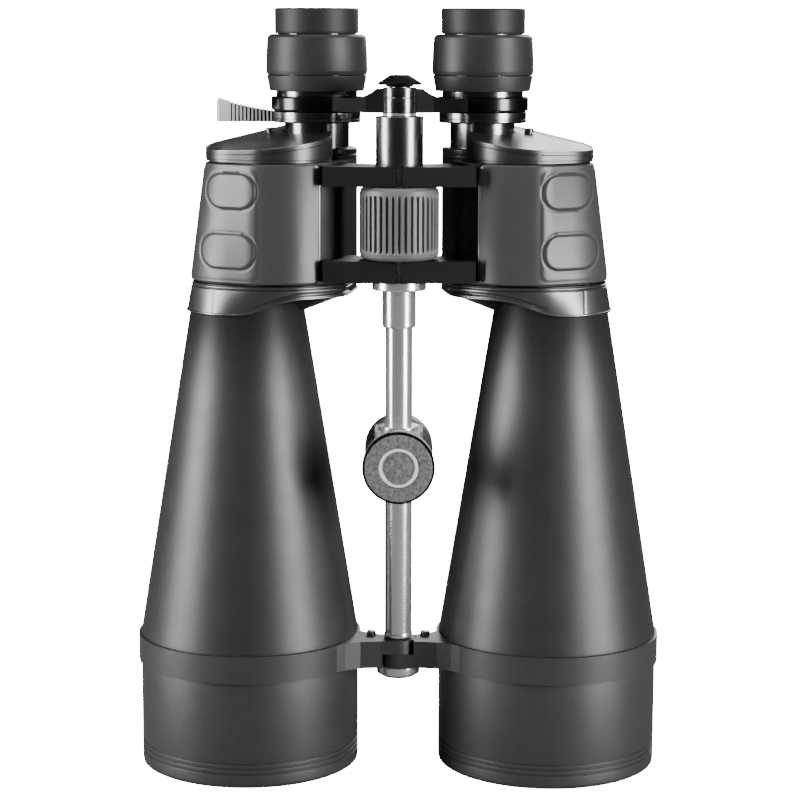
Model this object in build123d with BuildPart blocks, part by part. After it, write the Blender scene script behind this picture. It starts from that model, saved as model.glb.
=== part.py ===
"""Zoom astronomy binoculars with 80 mm objectives and a braced tripod rod.

Millimetres. The object stands on its objective rims, eyepieces up. Z runs along the optical axes,
X across both barrels and Y from the hinge side to the eyepiece side. The origin is on the floor,
midway between the objective axes. "left" is -X and "right" is +X. The light path of each half goes
from the objective up through two Porro prisms, which move it by two equal shifts at right angles.
"""
from build123d import *
from math import cos, radians, sin, sqrt
import os

os.makedirs("parts", exist_ok=True)

# ---------------------------------------------------------------- driving dimensions
OBJECTIVE_X = 60.3          # objective axes at x = -+60.3, y = 0
EYEPIECE_X = 33.3           # eyepiece axes, 66.6 mm between the pupils at rest
EYEPIECE_Y = 22.0
HINGE_Y = -13.0             # fold axis at x = 0
SIDES = {"left": -1, "right": 1}
RUN = 0.07                  # radial clearance of a running fit
GAP = 0.3                   # space between faces that move past each other

# objective cell and barrel
CELL_R = 44.0
CELL_TOP = 42.5
LENS_R = 41.0
LENS_Z = 17.0               # front of the doublet above the floor
CROWN_EDGE = 6.0
FLINT_EDGE = 5.0
CELL_GROOVES = (5.6, 7.7, 9.8)
BAND_TOP = 53.4             # top of the clamping ring of the front bridge
BAND_R = 44.9
BARREL_SEAT_R = 43.3        # barrel inside the clamping ring
BARREL_R0 = 43.9
BARREL_R1 = 21.8
BARREL_TOP = 190.0
BARREL_EDGE_Z = 188.0       # the shoulder is chamfered from here to its top
SHOULDER_R = 19.6
BARREL_WALL = 1.8
NECK_R = 17.4               # threaded neck that enters the prism housing
NECK_TOP = 198.8

# prism housing outline: circles at the objective, outer flank, front ridge, front bulge, inner
# corner and eyepiece; the flat between ridge and objective is the sloping grip face
BODY_Z0 = 195.9
BODY_Z1 = 243.2
SKIN_R0, SKIN_R1 = 20.4, 15.6       # armoured outline about the objective axis at both heights
FLANK_X0, FLANK_X1 = 66.5, 61.6
FLANK_R0, FLANK_R1 = 16.2, 14.9
RIDGE_X, RIDGE_R = 53.5, 5.0
RIDGE_Y0, RIDGE_Y1 = -20.5, -18.0
BULGE_X, BULGE_R = 47.0, 23.0       # rounded front face between ridge and corner
BULGE_Y0, BULGE_Y1 = -2.2, 0.2
CORNER_X, CORNER_Y, CORNER_R = 35.5, -2.6, 14.2
HEEL_R = 16.2
ARMOUR = 1.7
WALL = 1.9
ARMOUR_Z1 = 243.0
ARMOUR_EDGE_X = 29.8

# Porro prisms
SHIFT = 24.7                # each prism moves the beam by this much
PRISM_TURN = 6.0            # degrees that the first shift leans towards the hinge side
PRISM_HALF_W = 10.5
PRISM_H = 22.0              # apex cut flat
SHELF_Z = 216.0
SHELF_T = 2.5

# nose cover below the housing
NOSE_Z0 = 184.3
NOSE_R0 = 23.9
NOSE_FLANK = (62.0, 0.0, 22.4)
NOSE_RIDGE = (53.5, -18.0, 6.5)
NOSE_BULGE = (47.0, -1.4, 22.8)
NOSE_STEP_Z = 190.5         # underside away from the barrel
NOSE_SKIN = 4.2
NOSE_INSET = 0.3            # behind the armour

# rear cover
COVER_Z0 = 244.2
COVER_FRONT_Z = 249.0
COVER_SLOPE = 0.11          # rise per mm towards the back
COVER_TILT = 0.10           # rise per mm towards the hinge
COVER_R = 16.0
COVER_RIDGE = (52.5, -18.0, 3.5)
COVER_BULGE = (48.0, -0.3, 21.3)
COVER_HEEL = (40.0, 26.0, 12.0)
COVER_ROUND = 0.7
COVER_SCREWS = ((52.0, 21.0),)

# main hinge
AXLE_R = 6.9
AXLE_BORE = 4.55
LUG_R = 9.7
LUG_SLOT = 1.3              # half width of the slot in the front of the lugs
BAR_FRONT_Y = -24.2
LOWER_BAR = (197.1, 201.2, 201.4, 205.6)
UPPER_BAR = (234.4, 238.2, 238.4, 242.1)
SLEEVE_R = 9.2
SLEEVE_TOP = 261.1

# focusing
WHEEL_Z0, WHEEL_Z1 = 205.9, 234.1
WHEEL_R = 15.6
WHEEL_RIBS = 40
PIN_Z = 212.0
PIN_R = 1.3
FOCUS_TRAVEL = 8.4
SPINDLE_R = 4.5
JOURNAL_R = 4.0
HUB_R = 6.35
HUB_SPLIT = 268.3
HUB_TOP = 272.2
ARM_Z0, ARM_Z1 = 262.3, 267.6

# eyepieces
DRAW_R = 13.0
DRAW_Z0 = 238.0
ZOOM_Z0, ZOOM_Z1 = 257.4, 262.1
ZOOM_R = 17.6
ARM_RING_R = 18.2
ARM_SEAT_R = 15.0
NECK_Z1 = 270.0
BASE_Z1 = 276.1
GRIP_Z1 = 292.4
GRIP_R = 20.3
INNER_R = 15.5
EYECUP_R = 16.8
TOP_Z = 302.8
LEVER_TIP = 40.0            # from the eyepiece axis
LEVER_TIP_Z = 267.1
LEVER_T = 3.0
LEVER_RIBS = 9
ZOOM_TURN = 50.0            # degrees each way
PEG_R = 1.2
PEG_Z = 259.7

# front bridge and tripod rod
HUB_LOW_R = 6.9
LAP_Z = 47.9
ROD_R = 5.35
STUD_R = 3.0
COLLAR_Z0, COLLAR_Z1 = 178.8, 193.7
COLLAR_R = 6.6
FLANGE_R = 10.6

# tripod clamp
CLAMP_Z = 127.5
CLAMP_HALF = 11.0
BUSH_R = 7.0
KNOB_R = 14.0
KNOB_Y0, KNOB_Y1 = -41.0, -32.5
FOOT_R = 13.4
FOOT_Y0, FOOT_Y1 = 0.0, 9.0
TAP_R = 2.55                # tapping size of a 1/4 inch 20 thread
TAP_DEPTH = 8.0


def finish(part, label):
    """Label a finished piece and write it."""
    part.label = label
    export_step(part, f"parts/{label}.step")


def tapered(low, high, z):
    """Value that goes from low at BODY_Z0 to high at BODY_Z1, at height z."""
    return low + (high - low) * (z - BODY_Z0) / (BODY_Z1 - BODY_Z0)


def cone_radius(z):
    """Outside of the barrel at height z."""
    return BARREL_R0 + (BARREL_R1 - BARREL_R0) * (z - BAND_TOP) / (BARREL_TOP - BAND_TOP)


def cover_top(x, y):
    """Height of the rear cover's sloping top."""
    return COVER_FRONT_Z + COVER_SLOPE * (y + COVER_R) + COVER_TILT * (COVER_RIDGE[0] - abs(x))


def fill_hull(spots):
    """Fill the hull of circles, each (x, y, radius), in the sketch being built."""
    for x, y, radius in spots:
        with Locations((x, y)):
            Circle(radius)
    make_hull()


def body_spots(side, z, inset):
    """Circles of the housing's outline at height z, inset from the armour's surface."""
    return (
        (side * OBJECTIVE_X, 0, tapered(SKIN_R0, SKIN_R1, z) - inset),
        (side * tapered(FLANK_X0, FLANK_X1, z), 0, tapered(FLANK_R0, FLANK_R1, z) - inset),
        (side * RIDGE_X, tapered(RIDGE_Y0, RIDGE_Y1, z), RIDGE_R - inset),
        (side * BULGE_X, tapered(BULGE_Y0, BULGE_Y1, z), BULGE_R - inset),
        (side * CORNER_X, CORNER_Y, CORNER_R + ARMOUR - inset),
        (side * EYEPIECE_X, EYEPIECE_Y, HEEL_R + ARMOUR - inset),
    )


def cover_spots(side):
    """Circles of the rear cover's outline."""
    return [(side * x, y, r) for x, y, r in
            ((OBJECTIVE_X, 0, COVER_R), COVER_RIDGE, COVER_BULGE, COVER_HEEL)]


def body_block(side, z0, z1, inset):
    """Solid block of the housing's outline between two heights."""
    with BuildPart() as block:
        for z in (z0, z1):
            with BuildSketch(Plane.XY.offset(z)):
                fill_hull(body_spots(side, z, inset))
        loft()
    return block.part


def turned(points, x, y):
    """Solid of revolution: (radius, z) points about the vertical axis at x, y."""
    with BuildPart() as piece:
        with BuildSketch(Plane(origin=(x, y, 0), x_dir=(1, 0, 0), z_dir=(0, -1, 0))):
            with BuildLine():
                Polyline(*points, close=True)
            make_face()
        revolve(axis=Axis((x, y, 0), (0, 0, 1)))
    return piece.part


def dome_height(radius, sag):
    """Height above its edge, half way out, of a spherical face that rises by sag at its middle."""
    ball = (radius ** 2 + sag ** 2) / (2 * sag)
    return sqrt(ball ** 2 - radius ** 2 / 4) - ball + sag


def tube(inner, outer, z0, z1):
    """Section of a plain tube for turned()."""
    return ((inner, z0), (outer, z0), (outer, z1), (inner, z1))


def prism_centre(side, shifts):
    """Point reached after the given parts of the two shifts, in plan."""
    turn = radians(PRISM_TURN)
    along, across = shifts
    x = OBJECTIVE_X - SHIFT * (along * cos(turn) + across * sin(turn))
    y = SHIFT * (across * cos(turn) - along * sin(turn))
    return side * x, y


# ---------------------------------------------------------------- objective end
def objective_cell(name, side):
    """Ring that holds the objective and screws onto the barrel."""
    section = (
        (42.2, 0), (42.9, 0), (43.6, 0.45), (CELL_R, 1.5), (CELL_R, CELL_TOP), (42.05, CELL_TOP),
        (42.05, 34), (39.4, 34), (39.4, 28), (41.05, 28), (41.05, 13), (42.2, 11),
    )
    grooves = [turned(tube(CELL_R - 0.45, CELL_R + 1, z - 0.3, z + 0.3), side * OBJECTIVE_X, 0)
               for z in CELL_GROOVES]
    with BuildPart() as cell:
        add(turned(section, side * OBJECTIVE_X, 0))
        for groove in grooves:
            add(groove, mode=Mode.SUBTRACT)
    finish(cell.part, f"{name}_objective_cell")


def retaining_ring(name, side):
    """Threaded ring that keeps the doublet in its cell, with two spanner slots."""
    with BuildPart() as ring:
        add(turned(tube(39.3, 41.0, 13.2, 16.6), side * OBJECTIVE_X, 0))
        with BuildSketch(Plane.XY.offset(13.2)):
            with Locations((side * OBJECTIVE_X, 0)):
                Rectangle(2.5, 90)
        extrude(amount=1.2, mode=Mode.SUBTRACT)
    finish(ring.part, f"{name}_objective_ring")


def objective_doublet(name, side):
    """Crown in front, flint behind: two solids cemented together."""
    plane = Plane(origin=(side * OBJECTIVE_X, 0, 0), x_dir=(1, 0, 0), z_dir=(0, -1, 0))
    edge_z = LENS_Z + CROWN_EDGE
    back_z = edge_z + FLINT_EDGE - 0.1
    front_sag, joint_sag, back_sag = 3.4, 2.6, 0.8
    half = LENS_R / 2
    with BuildPart() as crown:
        with BuildSketch(plane):
            with BuildLine():
                Line((0, LENS_Z - front_sag), (0, edge_z + joint_sag))
                ThreePointArc((0, edge_z + joint_sag),
                              (half, edge_z + dome_height(LENS_R, joint_sag)), (LENS_R, edge_z))
                Line((LENS_R, edge_z), (LENS_R, LENS_Z))
                ThreePointArc((LENS_R, LENS_Z), (half, LENS_Z - dome_height(LENS_R, front_sag)),
                              (0, LENS_Z - front_sag))
            make_face()
        revolve(axis=Axis((side * OBJECTIVE_X, 0, 0), (0, 0, 1)))
    with BuildPart() as flint:
        with BuildSketch(plane):
            with BuildLine():
                Line((0, edge_z + joint_sag), (0, back_z + back_sag))
                ThreePointArc((0, back_z + back_sag), (half, back_z + dome_height(LENS_R, back_sag)),
                              (LENS_R, back_z))
                Line((LENS_R, back_z), (LENS_R, edge_z))
                ThreePointArc((LENS_R, edge_z), (half, edge_z + dome_height(LENS_R, joint_sag)),
                              (0, edge_z + joint_sag))
            make_face()
        revolve(axis=Axis((side * OBJECTIVE_X, 0, 0), (0, 0, 1)))
    finish(Compound(children=[crown.part, flint.part]), f"{name}_objective_doublet")


def barrel(name, side):
    """Long cone from the objective cell to the prism housing."""
    section = (
        (41.95, 34), (41.95, CELL_TOP), (BARREL_SEAT_R, CELL_TOP), (BARREL_SEAT_R, BAND_TOP),
        (BARREL_R0, BAND_TOP), (cone_radius(BARREL_EDGE_Z), BARREL_EDGE_Z),
        (SHOULDER_R, BARREL_TOP), (NECK_R, BARREL_TOP), (NECK_R, NECK_TOP),
        (NECK_R - BARREL_WALL, NECK_TOP), (NECK_R - BARREL_WALL, BARREL_TOP - 2),
        (cone_radius(BARREL_TOP - 2) - BARREL_WALL, BARREL_TOP - 2),
        (cone_radius(55.5) - BARREL_WALL, 55.5), (40.2, BAND_TOP), (40.2, 34),
    )
    centre, turn, length, width = prism_plan(side, False, 1.5)
    with BuildPart() as cone:
        add(turned(section, side * OBJECTIVE_X, 0))
        with BuildSketch(Plane.XY.offset(SHELF_Z - PRISM_H - 0.3)):
            with Locations(Location((centre[0], centre[1], 0), (0, 0, turn))):
                SlotOverall(length, width)
        extrude(amount=20, mode=Mode.SUBTRACT)
    finish(cone.part, f"{name}_barrel")


def front_bridge_arm(name, side):
    """Clamping ring round the barrel with its half of the lapped lower hinge."""
    hub_y = HINGE_Y - HUB_LOW_R
    bore = STUD_R if side < 0 else STUD_R + RUN
    lap_z, lap_height = (CELL_TOP, LAP_Z + 0.1 - CELL_TOP) if side < 0 else (LAP_Z, BAND_TOP - LAP_Z)
    with BuildPart() as arm:
        with BuildSketch(Plane.XY.offset(CELL_TOP)):
            with Locations((side * OBJECTIVE_X, 0)):
                Circle(BAND_R)
            with BuildLine():
                Polyline((side * 28, -30), (side * 21, -24), (side * 15, -20.9), (side * 7, hub_y),
                         (0, hub_y), (0, HINGE_Y + HUB_LOW_R), (side * 6, -8.6), (side * 11, -6.8),
                         (side * 15, -3.2), (side * 17, 4), (side * 28, 4), close=True)
            make_face()
            with Locations((0, HINGE_Y)):
                Circle(HUB_LOW_R)
                Circle(bore, mode=Mode.SUBTRACT)
            with Locations((side * OBJECTIVE_X, 0)):
                Circle(BARREL_SEAT_R, mode=Mode.SUBTRACT)
        extrude(amount=BAND_TOP - CELL_TOP)
        with BuildSketch(Plane.XY.offset(lap_z)):
            with Locations((0, HINGE_Y)):
                Circle(HUB_LOW_R + GAP)
            with Locations((0, HINGE_Y - 5)):
                Rectangle(12.4, 10)
        extrude(amount=lap_height, mode=Mode.SUBTRACT)
    finish(arm.part, f"{name}_front_bridge_arm")


# ---------------------------------------------------------------- prism housing
def hinge_bar(side, heights):
    """One hinge bar: arm from the housing, with a half-height knuckle round the axle."""
    z0, z1, z2, z3 = heights
    lower_is_own = (side < 0) == (heights is LOWER_BAR)
    own = (z0, z1) if lower_is_own else (z2, z3)
    other = (z1, z3) if lower_is_own else (z0, z2)
    bore = AXLE_R if side < 0 else AXLE_R + RUN
    bar_end = ARMOUR_EDGE_X - 0.1
    with BuildPart() as bar:
        with BuildSketch(Plane.XY.offset(z0)):
            with BuildLine():
                Polyline((side * LUG_SLOT, BAR_FRONT_Y), (side * bar_end, -22.2), (side * bar_end, 3),
                         (side * 20, 3), (side * 3.5, -4.6), (side * 3.5, HINGE_Y),
                         (side * LUG_SLOT, HINGE_Y), close=True)
            make_face()
        extrude(amount=z3 - z0)
        with BuildSketch(Plane.XY.offset(other[0])):
            with Locations((0, HINGE_Y)):
                Circle(LUG_R + GAP)
        extrude(amount=other[1] - other[0], mode=Mode.SUBTRACT)
        with BuildSketch(Plane.XY.offset(own[0])):
            with Locations((0, HINGE_Y)):
                Circle(LUG_R)
        extrude(amount=own[1] - own[0])
        with BuildSketch(Plane.XY.offset(z0)):
            with Locations((0, HINGE_Y)):
                Circle(bore)
            with Locations((0, HINGE_Y - 8)):
                Rectangle(2 * LUG_SLOT, 16)
        extrude(amount=z3 - z0, mode=Mode.SUBTRACT)
    return bar.part


def prism_plan(side, rear, margin):
    """Rounded plan of a prism: centre, turn and size for a slot shape."""
    centre = prism_centre(side, (0.5, 0) if rear else (1, 0.5))
    turn = side * PRISM_TURN + (0 if rear else 90)
    return centre, turn, 2 * SHIFT + margin, 2 * PRISM_HALF_W + margin


def prism_housing(name, side):
    """Cast housing: walls, threaded floor, rear deck and both hinge bars."""
    outside = body_block(side, BODY_Z0, BODY_Z1, ARMOUR)
    inside = body_block(side, BODY_Z0 + 3, BODY_Z1 - 2, ARMOUR + WALL)
    bars = [hinge_bar(side, LOWER_BAR), hinge_bar(side, UPPER_BAR)]
    centre, turn, length, width = prism_plan(side, False, 1.5)
    cover = [(x, y, r - 3) for x, y, r in cover_spots(side)]
    with BuildPart() as housing:
        add(outside)
        for bar in bars:
            add(bar)
        add(inside, mode=Mode.SUBTRACT)
        with BuildSketch(Plane.XY.offset(BODY_Z0)):
            with Locations((side * OBJECTIVE_X, 0)):
                Circle(NECK_R)
            with Locations(Location((centre[0], centre[1], 0), (0, 0, turn))):
                SlotOverall(length, width)
        extrude(amount=3.2, mode=Mode.SUBTRACT)
        with BuildSketch(Plane.XY.offset(BODY_Z1 - 2.5)):
            fill_hull(cover)
            with Locations((side * EYEPIECE_X, EYEPIECE_Y)):
                Circle(DRAW_R + 1)
        extrude(amount=3, mode=Mode.SUBTRACT)
    finish(housing.part, f"{name}_prism_housing")


def armour(name, side):
    """Rubber armour round the outer part of the housing, with two raised thumb pads."""
    z0 = BODY_Z0 + GAP
    skin = body_block(side, z0, ARMOUR_Z1, 0)
    pad_skin = body_block(side, z0, ARMOUR_Z1, -0.8)
    core = body_block(side, BODY_Z0, BODY_Z1, ARMOUR)
    with BuildPart() as pads:
        with BuildSketch(Plane.XZ.offset(8)):
            with Locations((side * 65.5, 209.0), (side * 65.5, 232.3)):
                RectangleRounded(20.5, 13.7, 6.2)
        extrude(amount=30)
        add(pad_skin, mode=Mode.INTERSECT)
    with BuildPart() as rubber:
        add(skin)
        add(pads.part)
        add(core, mode=Mode.SUBTRACT)
        with BuildSketch(Plane.XY.offset(z0 - 1)):
            with Locations((side * (ARMOUR_EDGE_X - 40), 0)):
                Rectangle(80, 120)
        extrude(amount=60, mode=Mode.SUBTRACT)
    finish(rubber.part, f"{name}_armour")


def nose_cover(name, side):
    """Fairing between the barrel and the housing; its underside sweeps up towards the hinge."""
    z1 = BODY_Z0 - 0.2
    inner = (
        (side * CORNER_X, CORNER_Y, CORNER_R + ARMOUR - NOSE_INSET),
        (side * EYEPIECE_X, EYEPIECE_Y, HEEL_R + 0.2),
    )
    low = [(side * x, y, r) for x, y, r in
           ((OBJECTIVE_X, 0, NOSE_R0), NOSE_FLANK, NOSE_RIDGE, NOSE_BULGE)]
    high = body_spots(side, z1, NOSE_INSET)[:4]
    hole = ((0, NOSE_Z0 - 4), (cone_radius(NOSE_Z0 - 4) + 0.05, NOSE_Z0 - 4),
            (cone_radius(BARREL_EDGE_Z) + 0.05, BARREL_EDGE_Z),
            (SHOULDER_R + 0.1, BARREL_TOP + 0.05), (NECK_R + 0.1, BARREL_TOP + 0.05),
            (NECK_R + 0.1, z1 + 1), (0, z1 + 1))
    barrel_space = turned(hole, side * OBJECTIVE_X, 0)
    with BuildPart() as nose:
        for z, outer in ((NOSE_Z0, low), (z1, high)):
            with BuildSketch(Plane.XY.offset(z)):
                fill_hull((*outer, *inner))
        loft()
        with BuildSketch(Plane.XZ.offset(-60)):
            with BuildLine():
                Line((side * 64, NOSE_Z0), (side * 64, NOSE_Z0 - 5))
                Line((side * 64, NOSE_Z0 - 5), (0, NOSE_Z0 - 5))
                Line((0, NOSE_Z0 - 5), (0, NOSE_STEP_Z + 0.2))
                Line((0, NOSE_STEP_Z + 0.2), (side * 36, NOSE_STEP_Z))
                Bezier((side * 36, NOSE_STEP_Z), (side * 48, NOSE_STEP_Z), (side * 54, NOSE_Z0),
                       (side * 64, NOSE_Z0))
            make_face()
        extrude(amount=120, mode=Mode.SUBTRACT)
        with BuildSketch(Plane.XY.offset(NOSE_STEP_Z + 1.8)):
            fill_hull([(x, y, r - NOSE_SKIN) for x, y, r in (*high, *inner)])
        extrude(amount=5, mode=Mode.SUBTRACT)
        add(barrel_space, mode=Mode.SUBTRACT)
    finish(nose.part, f"{name}_nose_cover")


def prism_shelf(name, side):
    """Plate across the housing that both prisms are strapped to."""
    z1 = SHELF_Z + SHELF_T
    plate = body_block(side, SHELF_Z, z1, ARMOUR + WALL + 0.1)
    light = [prism_centre(side, shifts) for shifts in ((0, 0), (1, 0), (1, 1))]
    with BuildPart() as shelf:
        add(plate)
        with BuildSketch(Plane.XY.offset(SHELF_Z)):
            with Locations(*light):
                Circle(PRISM_HALF_W - 1)
        extrude(amount=SHELF_T, mode=Mode.SUBTRACT)
    finish(shelf.part, f"{name}_prism_shelf")


def prism(name, side, rear):
    """Porro prism with rounded ends; its long face lies on the shelf."""
    centre, turn, length, width = prism_plan(side, rear, 0)
    base_z = SHELF_Z + SHELF_T if rear else SHELF_Z
    up = 1 if rear else -1
    along = Plane(origin=(centre[0], centre[1], base_z), x_dir=Vector(1, 0, 0).rotate(Axis.Z, turn),
                  z_dir=Vector(0, -1, 0).rotate(Axis.Z, turn))
    with BuildPart() as glass:
        with BuildSketch(Plane.XY.offset(base_z)):
            with Locations(Location((centre[0], centre[1], 0), (0, 0, turn))):
                SlotOverall(length, width)
        extrude(amount=up * PRISM_H)
        with BuildSketch(along):
            with BuildLine():
                Polyline((-SHIFT, 0), (SHIFT, 0), (SHIFT - PRISM_H, up * PRISM_H),
                         (PRISM_H - SHIFT, up * PRISM_H), close=True)
            make_face()
        extrude(amount=2 * PRISM_HALF_W, both=True, mode=Mode.INTERSECT)
    finish(glass.part, f"{name}_{'rear' if rear else 'front'}_prism")


def rear_cover(name, side):
    """Cover with a sloping top, cut away round the eyepiece guide."""
    spots = cover_spots(side)
    eyepiece = (side * EYEPIECE_X, EYEPIECE_Y)
    screws = [(side * x, y) for x, y in COVER_SCREWS]
    top = Plane(origin=(side * OBJECTIVE_X, 0, cover_top(OBJECTIVE_X, 0)),
                z_dir=(side * COVER_TILT, -COVER_SLOPE, 1))
    with BuildPart() as cover:
        with BuildSketch(Plane.XY.offset(COVER_Z0)):
            fill_hull(spots)
        extrude(amount=20)
        with BuildSketch(Plane.XY.offset(BODY_Z1)):
            fill_hull([(x, y, r - 1.2) for x, y, r in spots])
        extrude(amount=COVER_Z0 - BODY_Z1)
        with BuildSketch(top):
            Rectangle(200, 200)
        extrude(amount=40, mode=Mode.SUBTRACT)
        fillet(cover.faces().sort_by(Axis.Z)[-1].edges(), COVER_ROUND)
        with BuildSketch(Plane.XY.offset(BODY_Z1)):
            fill_hull([(x, y, r - 3) for x, y, r in spots])
        extrude(amount=3.2, mode=Mode.SUBTRACT)
        with BuildSketch(Plane.XY.offset(BODY_Z1)):
            with Locations(eyepiece):
                Circle(HEEL_R + 0.1)
        extrude(amount=4.4, mode=Mode.SUBTRACT)
        with BuildSketch(Plane.XY.offset(BODY_Z1)):
            with Locations(eyepiece):
                Circle(DRAW_R + 0.4)
            with Locations(*screws):
                Circle(1.2)
        extrude(amount=20, mode=Mode.SUBTRACT)
    finish(cover.part, f"{name}_rear_cover")


def cover_screw(name, side):
    """Pan-head screws of the rear cover."""
    screws = []
    for x, y in COVER_SCREWS:
        top = cover_top(x, y)
        section = ((0, top - 3), (1.2, top - 3), (1.2, top + 0.3), (1.9, top + 0.3),
                   (1.9, top + 1.7), (1.5, top + 2.1), (0, top + 2.1))
        screws.append(turned(section, side * x, y))
    finish(Compound(children=screws), f"{name}_cover_screws")


def eyepiece_guide(name, side):
    """Flanged bush that the eyepiece slides in."""
    section = (
        (DRAW_R + RUN, 226), (DRAW_R + 1, 226), (DRAW_R + 1, BODY_Z1), (HEEL_R, BODY_Z1),
        (HEEL_R, 247.0), (HEEL_R - 0.5, 247.5), (DRAW_R + RUN, 247.5),
    )
    with BuildPart() as guide:
        add(turned(section, side * EYEPIECE_X, EYEPIECE_Y))
    finish(guide.part, f"{name}_eyepiece_guide")


# ---------------------------------------------------------------- eyepieces
def eyepiece_tube(name, side):
    """Draw tube, neck, base and inner tube: one turned piece, slotted for the zoom peg."""
    section = (
        (DRAW_R - 1, DRAW_Z0), (DRAW_R, DRAW_Z0), (DRAW_R, ARM_Z0), (ARM_SEAT_R, ARM_Z0),
        (ARM_SEAT_R, ARM_Z1), (16.2, ARM_Z1), (16.2, NECK_Z1), (19.0, NECK_Z1),
        (20.1, BASE_Z1), (INNER_R, BASE_Z1), (INNER_R, 294), (13.5, 294), (13.5, 277.5),
        (DRAW_R - 1, 277.5),
    )
    slot_half = radians(ZOOM_TURN + 8)
    middle = side * EYEPIECE_X
    reach_x, reach_y = 30 * sin(slot_half), 30 * cos(slot_half)
    with BuildPart() as piece:
        add(turned(section, side * EYEPIECE_X, EYEPIECE_Y))
        with BuildSketch(Plane.XY.offset(PEG_Z - PEG_R - 0.1)):
            with Locations((middle, EYEPIECE_Y)):
                Circle(DRAW_R + 0.5)
                Circle(DRAW_R - 1.5, mode=Mode.SUBTRACT)
            with BuildLine():
                Polyline((middle, EYEPIECE_Y), (middle + reach_x, EYEPIECE_Y + reach_y),
                         (middle, EYEPIECE_Y + 40), (middle - reach_x, EYEPIECE_Y + reach_y),
                         close=True)
            make_face(mode=Mode.INTERSECT)
        extrude(amount=2 * PEG_R + 0.2, mode=Mode.SUBTRACT)
    finish(piece.part, f"{name}_eyepiece_tube")


def zoom_peg(side, radius, inner, outer):
    """Radial peg at the back of the eyepiece axis."""
    with BuildPart() as peg:
        with BuildSketch(Plane.XZ.offset(-EYEPIECE_Y - inner)):
            with Locations((side * EYEPIECE_X, PEG_Z)):
                Circle(radius)
        extrude(amount=inner - outer)
    return peg.part


def zoom_ring(name, side):
    """Ring that turns the zoom cam; the left one carries the ribbed lever."""
    section = (
        (DRAW_R + RUN, ZOOM_Z0), (ZOOM_R - 0.4, ZOOM_Z0), (ZOOM_R, ZOOM_Z0 + 0.4),
        (ZOOM_R, ZOOM_Z1 - 0.4), (ZOOM_R - 0.4, ZOOM_Z1), (DRAW_R + RUN, ZOOM_Z1),
    )
    hole = zoom_peg(side, PEG_R, DRAW_R - 1, ZOOM_R - 1.5)
    tip_x = -EYEPIECE_X - LEVER_TIP
    root_x = -EYEPIECE_X - 14
    with BuildPart() as ring:
        add(turned(section, side * EYEPIECE_X, EYEPIECE_Y))
        add(hole, mode=Mode.SUBTRACT)
        if side < 0:
            with BuildSketch(Plane.XZ.offset(-EYEPIECE_Y)):
                with BuildLine():
                    Polyline((tip_x, LEVER_TIP_Z), (tip_x, ZOOM_Z0), (root_x, ZOOM_Z0),
                             (root_x, ZOOM_Z1), (root_x - 5, ZOOM_Z1))
                    ThreePointArc((root_x - 5, ZOOM_Z1), (root_x - 15, LEVER_TIP_Z - 3),
                                  (tip_x, LEVER_TIP_Z))
                make_face()
            extrude(amount=LEVER_T / 2, both=True)
            with BuildSketch(Plane.XY.offset(ZOOM_Z0)):
                for face in (-1, 1):
                    for step in range(LEVER_RIBS):
                        with Locations((tip_x + 3 + 1.9 * step, EYEPIECE_Y + face * LEVER_T / 2)):
                            Rectangle(0.9, 0.9)
            extrude(amount=12, mode=Mode.SUBTRACT)
    finish(ring.part, f"{name}_zoom_ring")


def zoom_cam(name, side):
    """Inner sleeve turned by the zoom ring through its peg."""
    peg = zoom_peg(side, PEG_R, DRAW_R - 1.6, ZOOM_R - 1.5)
    with BuildPart() as cam:
        add(turned(tube(DRAW_R - 2, DRAW_R - 1 - RUN, 240, 262), side * EYEPIECE_X, EYEPIECE_Y))
        add(peg)
    finish(cam.part, f"{name}_zoom_cam")


def lens(label, side, radius, z0, z1, bulge):
    """Lens with two equally curved faces; the edge runs from z0 to z1."""
    rise = dome_height(radius, bulge)
    with BuildPart() as glass:
        with BuildSketch(Plane(origin=(side * EYEPIECE_X, EYEPIECE_Y, 0), x_dir=(1, 0, 0),
                               z_dir=(0, -1, 0))):
            with BuildLine():
                Line((0, z0 - bulge), (0, z1 + bulge))
                ThreePointArc((0, z1 + bulge), (radius / 2, z1 + rise), (radius, z1))
                Line((radius, z1), (radius, z0))
                ThreePointArc((radius, z0), (radius / 2, z0 - rise), (0, z0 - bulge))
            make_face()
        revolve(axis=Axis((side * EYEPIECE_X, EYEPIECE_Y, 0), (0, 0, 1)))
    finish(glass.part, label)


def lens_cell(label, side, radius, seat, z0, z1):
    """Sleeve with a shoulder that a lens of radius seat rests on."""
    section = ((seat - 1.2, z0), (radius, z0), (radius, z1), (seat, z1), (seat, z0 + 1),
               (seat - 1.2, z0 + 1))
    with BuildPart() as cell:
        add(turned(section, side * EYEPIECE_X, EYEPIECE_Y))
    finish(cell.part, label)


def grip_ring(label, side):
    """Smooth rubbered ring below the eyecup; on the right it sets the diopter."""
    bore = INNER_R if side < 0 else INNER_R + RUN
    section = (
        (bore, BASE_Z1 + GAP), (GRIP_R - 0.3, BASE_Z1 + GAP), (GRIP_R, BASE_Z1 + 1.6),
        (GRIP_R - 0.3, GRIP_Z1 - 1.6), (GRIP_R - 1.6, GRIP_Z1), (bore, GRIP_Z1),
    )
    with BuildPart() as ring:
        add(turned(section, side * EYEPIECE_X, EYEPIECE_Y))
    finish(ring.part, label)


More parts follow.
